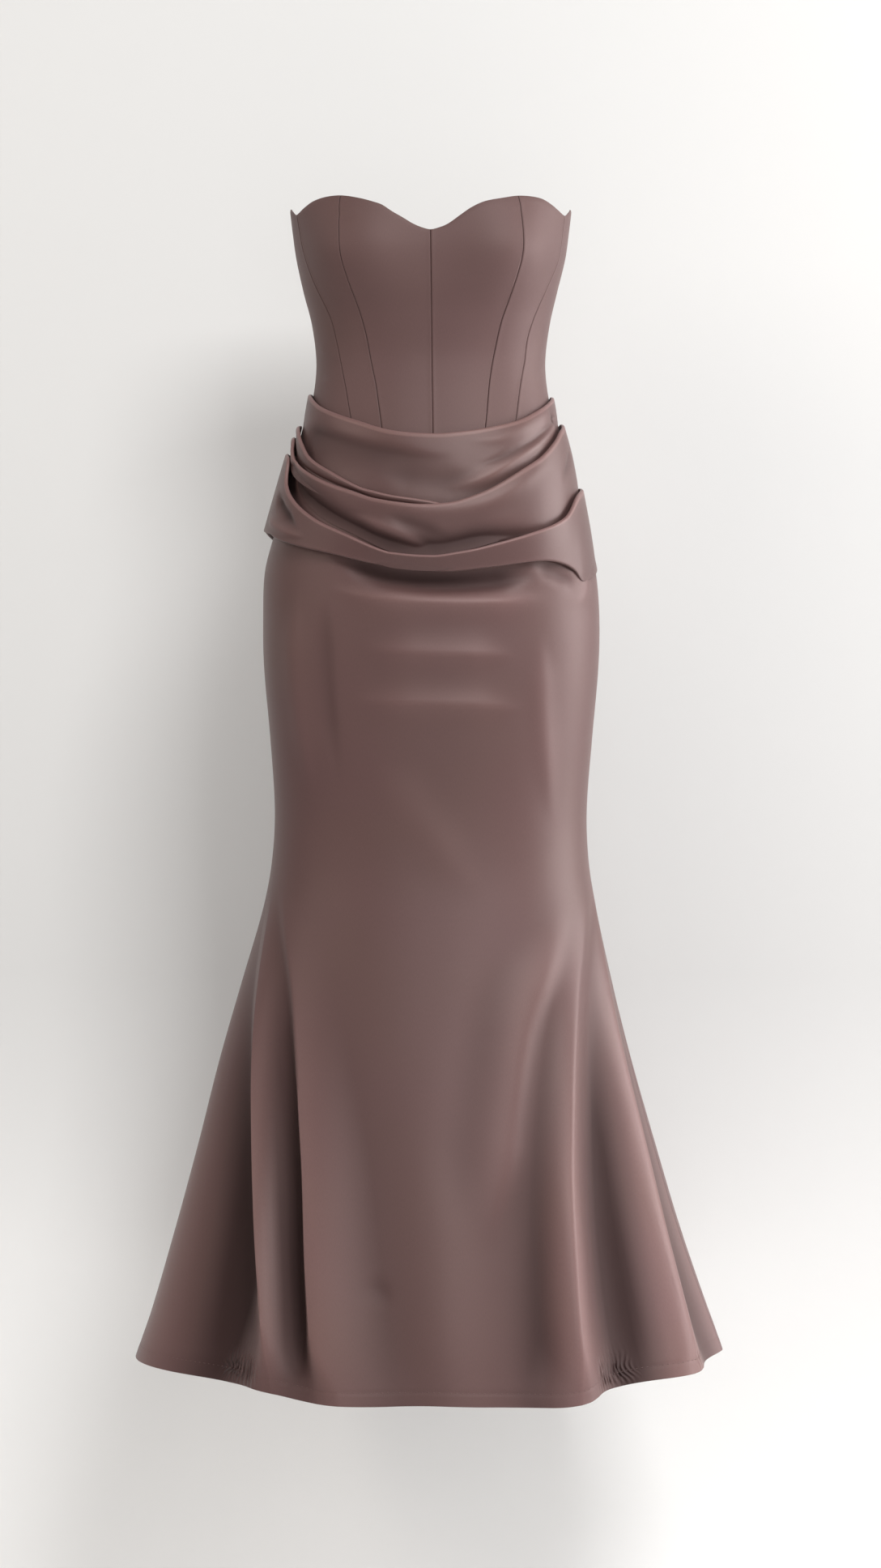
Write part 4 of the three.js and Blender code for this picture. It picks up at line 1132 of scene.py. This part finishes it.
def zip_pull_tab():
    """A flat tab with a window at its top, a round foot and a sunk panel on both faces."""
    low, high = [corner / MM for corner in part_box("zip_pull_tab")]
    foot = high.x
    round_z = low.z + foot
    tab = start_block("zip_pull_tab_metal", (-TAB_TOP_HALF, low.y, low.z), (TAB_TOP_HALF, high.y, high.z))
    rows = {low.z: TAB_FOOT * foot}
    for turn in TAB_TURNS:
        rows[round_z - foot * math.sin(math.radians(turn))] = foot * math.cos(math.radians(turn))
    grip = high.z - TAB_GRIP
    window_low, window_high = high.z - TAB_WINDOW[1], high.z - TAB_WINDOW[0]
    for z in (round_z, grip, window_low, window_high):
        rows[z] = TAB_TOP_HALF + (foot - TAB_TOP_HALF) * (high.z - z) / (high.z - round_z)
    for z in rows:
        if z > low.z:
            cut_across((0, 0, z), (0, 0, 1))
    for x in (-TAB_WINDOW_HALF, TAB_WINDOW_HALF):
        cut_across((x, 0, 0), (1, 0, 0))
    for z, half in rows.items():
        pick_row(tab, z)
        bpy.ops.transform.resize(value=(half / TAB_TOP_HALF, 1, 1))
    pick_faces(tab, lambda place, way: abs(way.y) > FACING and abs(place.x) < TAB_WINDOW_HALF
               and window_low < place.z < window_high)
    bpy.ops.mesh.bridge_edge_loops()
    border, slope, depth = TAB_PANEL
    for face_way in (-1, 1):
        pick_faces(tab, lambda place, way: way.y * face_way > FACING and place.z < grip)
        bpy.ops.mesh.inset(thickness=border * MM, depth=0)
        bpy.ops.mesh.inset(thickness=slope * MM, depth=-depth * MM)
    rounded_edges(tab, TAB_ROUND)
    tab.data.materials.append(ZIP_METAL)
    hand_over(tab, "pull_tab", "zip_pull_tab")


for side, hand in (("left", -1), ("right", 1)):
    zip_tape(side, hand)
    zip_coil(side, hand)
zip_slider()
zip_pull_tab()

# Stitches that hold the turned hem: one short thread and then a gap, all round

STITCH_STEP = 6.0  # from one stitch to the next
STITCH_LONG = 2.0
STITCH_WIDE = 0.42
STITCH_HIGH = 0.35
STITCH_TOP = 0.7  # width of its top, as a share of the foot
STITCH_SUNK = 0.3
STITCH_START = 0.3  # share of a step before the first stitch
STITCH_SEAM = 0.4  # degrees left free at a seam
STITCH_POINTS = 1200  # places along the hem from which its length is measured


def thread_material():
    material, tree, shader = new_material("matching thread")
    twist = bands(tree, object_place(tree), "DIAGONAL", 900.0)
    finish(tree, shader, Base_Color=two_tones(tree, twist, linear(78, 56, 54), linear(116, 88, 85)),
           Roughness=0.6)
    return material


THREAD = thread_material()
BOX_FACES = [(0, 3, 2, 1), (4, 5, 6, 7), (0, 1, 5, 4), (1, 2, 6, 5), (2, 3, 7, 6), (3, 0, 4, 7)]


def hem_stitches(name, start, end):
    """Short threads along one panel's hem, each narrower at its top."""
    dense = np.linspace(start + STITCH_SEAM, end - STITCH_SEAM, STITCH_POINTS)
    z = along(HEM_EDGE, dense) + HEM_STITCH
    line = placed(dense, z, face_radius(dense, z) - STITCH_SUNK)
    run = np.concatenate([[0], np.cumsum(np.linalg.norm(np.diff(line, axis=0), axis=1))])
    points = []
    faces = []
    for k in range(int(run[-1] / STITCH_STEP)):
        at = (k + STITCH_START) * STITCH_STEP
        ends = [
            np.array([np.interp(place, run, line[:, axis]) for axis in range(3)])
            for place in (at, at + STITCH_LONG)
        ]
        way = (ends[1] - ends[0]) / np.linalg.norm(ends[1] - ends[0])
        outward = np.cross(way, [0.0, 0.0, 1.0])
        outward /= np.linalg.norm(outward)
        up = np.cross(outward, way)
        first = len(points)
        for lift, wide in ((0, 1), (STITCH_HIGH, STITCH_TOP)):
            for end_point, side in ((ends[0], -1), (ends[1], -1), (ends[1], 1), (ends[0], 1)):
                points.append(end_point + outward * lift + up * side * wide * STITCH_WIDE / 2)
        faces += [tuple(first + corner for corner in face) for face in BOX_FACES]
    obj = mesh_object(name, (np.asarray(points) * MM).tolist(), faces, THREAD)
    hand_over(obj, "gown")


hem_stitches("hem_stitches_front", -90, 90)
hem_stitches("hem_stitches_back_left", -180, -90)
hem_stitches("hem_stitches_back_right", 90, 180)

# Backdrop, lights and camera


FLOOR = -2.0  # these are in metres
WALL = 0.34  # how far the wall is behind the gown's axis
WALL_TOP = 3.2
BEND = 0.38  # radius of the curve between the two
BEND_STEPS = 24
SWEEP_HALF = 160.0
FAR_FLOOR = [(-120.0, 60.0), (-120.0, FLOOR + 2), (-118.0, FLOOR), (-4.0, FLOOR)]
PAINTED_LIGHT_RISE = (-1.5, -0.7)  # heights between which its painted light fades: the paper is lighter below, darker above
PAPER_LIGHT = (0.88, 0.875, 0.865, 1.0)
PAPER_DARK = (0.57, 0.567, 0.56, 1.0)
WARM_WHITE = (1.0, 0.995, 0.985, 1.0)


def pale_paper():
    """Pale paper that is clear from behind, so that the back of the gown can be looked at. Painted light: it
    is lighter towards the bottom and glows faintly of its own, which lifts the shadows on it.
    """
    material, tree, shader = new_material("pale paper")
    height = node(tree, "ShaderNodeSeparateXYZ", object_place(tree)).outputs["Z"]
    # painted light: lighter towards the bottom of the wall, and a faint glow of its own
    tint = two_tones(tree, ranged(tree, height, 0, 1, *PAINTED_LIGHT_RISE), PAPER_LIGHT, PAPER_DARK)
    finish(tree, shader, Base_Color=tint, Emission_Color=WARM_WHITE, Emission_Strength=0.08, Roughness=0.9,
           Specular_IOR_Level=0.1)
    behind = node(tree, "ShaderNodeNewGeometry").outputs["Backfacing"]
    clear = node(tree, "ShaderNodeBsdfTransparent").outputs["BSDF"]
    either = node(tree, "ShaderNodeMixShader", behind, shader.outputs["BSDF"], clear)
    give(tree, tree.nodes["Material Output"].inputs["Surface"], either.outputs["Shader"])
    return material


def sweep():
    """A pale floor below the frame that curves up into a pale wall close behind the gown."""
    profile = FAR_FLOOR + [(WALL - BEND, FLOOR)]
    for k in range(1, BEND_STEPS):
        turn = math.pi / 2 * k / BEND_STEPS
        profile.append((WALL - BEND + BEND * math.sin(turn), FLOOR + BEND - BEND * math.cos(turn)))
    profile += [(WALL, FLOOR + BEND), (WALL, WALL_TOP)]
    points = [(x, y, z) for x in (-SWEEP_HALF, SWEEP_HALF) for y, z in profile]
    count = len(profile)
    faces = [(k, count + k, count + k + 1, k + 1) for k in range(count - 1)]
    mesh_object("studio_sweep", points, faces, pale_paper())


def softbox(name, place, aim, size, power, colour=(1.0, 1.0, 1.0)):
    """A lamp with a soft square face, turned towards the place it is aimed at."""
    light = bpy.data.lights.new(name, "AREA")
    light.shape = "RECTANGLE"
    light.size, light.size_y = size
    light.energy = power
    light.color = colour
    lamp = bpy.data.objects.new(name, light)
    bpy.context.collection.objects.link(lamp)
    lamp.location = place
    lamp.visible_camera = False
    direction = np.array(aim, float) - np.array(place, float)
    yaw = math.atan2(direction[1], direction[0])
    pitch = math.atan2(direction[2], math.hypot(direction[0], direction[1]))
    lamp.rotation_euler = (math.pi / 2 + pitch, 0, yaw - math.pi / 2)


sweep()
softbox("key", (1.1, -2.8, 1.6), (0, 0, -0.5), (1.3, 1.3), 90)
softbox("front", (0.2, -3.6, -0.5), (0, 0, -0.6), (1.4, 1.4), 11)
softbox("top", (0.4, -1.3, 2.6), (0, 0, -0.55), (1.3, 0.8), 22)
softbox("right side", (2.3, -0.15, 0.1), (0.1, 0, -0.5), (0.5, 1.8), 64, (1.0, 0.98, 0.98))
softbox("left side", (-1.9, -1.3, 0.7), (-0.1, 0, -0.3), (0.6, 1.2), 17, (1.0, 0.92, 0.84))

world = bpy.data.worlds.new("studio")
bpy.context.scene.world = world
world.use_nodes = True
background = world.node_tree.nodes["Background"]
finish(world.node_tree, background, Color=WARM_WHITE, Strength=0.07)
bpy.context.scene.view_settings.view_transform = "Standard"

camera_data = bpy.data.cameras.new("camera")
camera_data.lens = LENS
camera_data.sensor_width = SENSOR
camera_data.sensor_fit = "AUTO"
camera = bpy.data.objects.new("camera", camera_data)
bpy.context.collection.objects.link(camera)
camera.location = EYE
camera.rotation_euler = (math.pi / 2, 0, 0)
bpy.context.scene.camera = camera
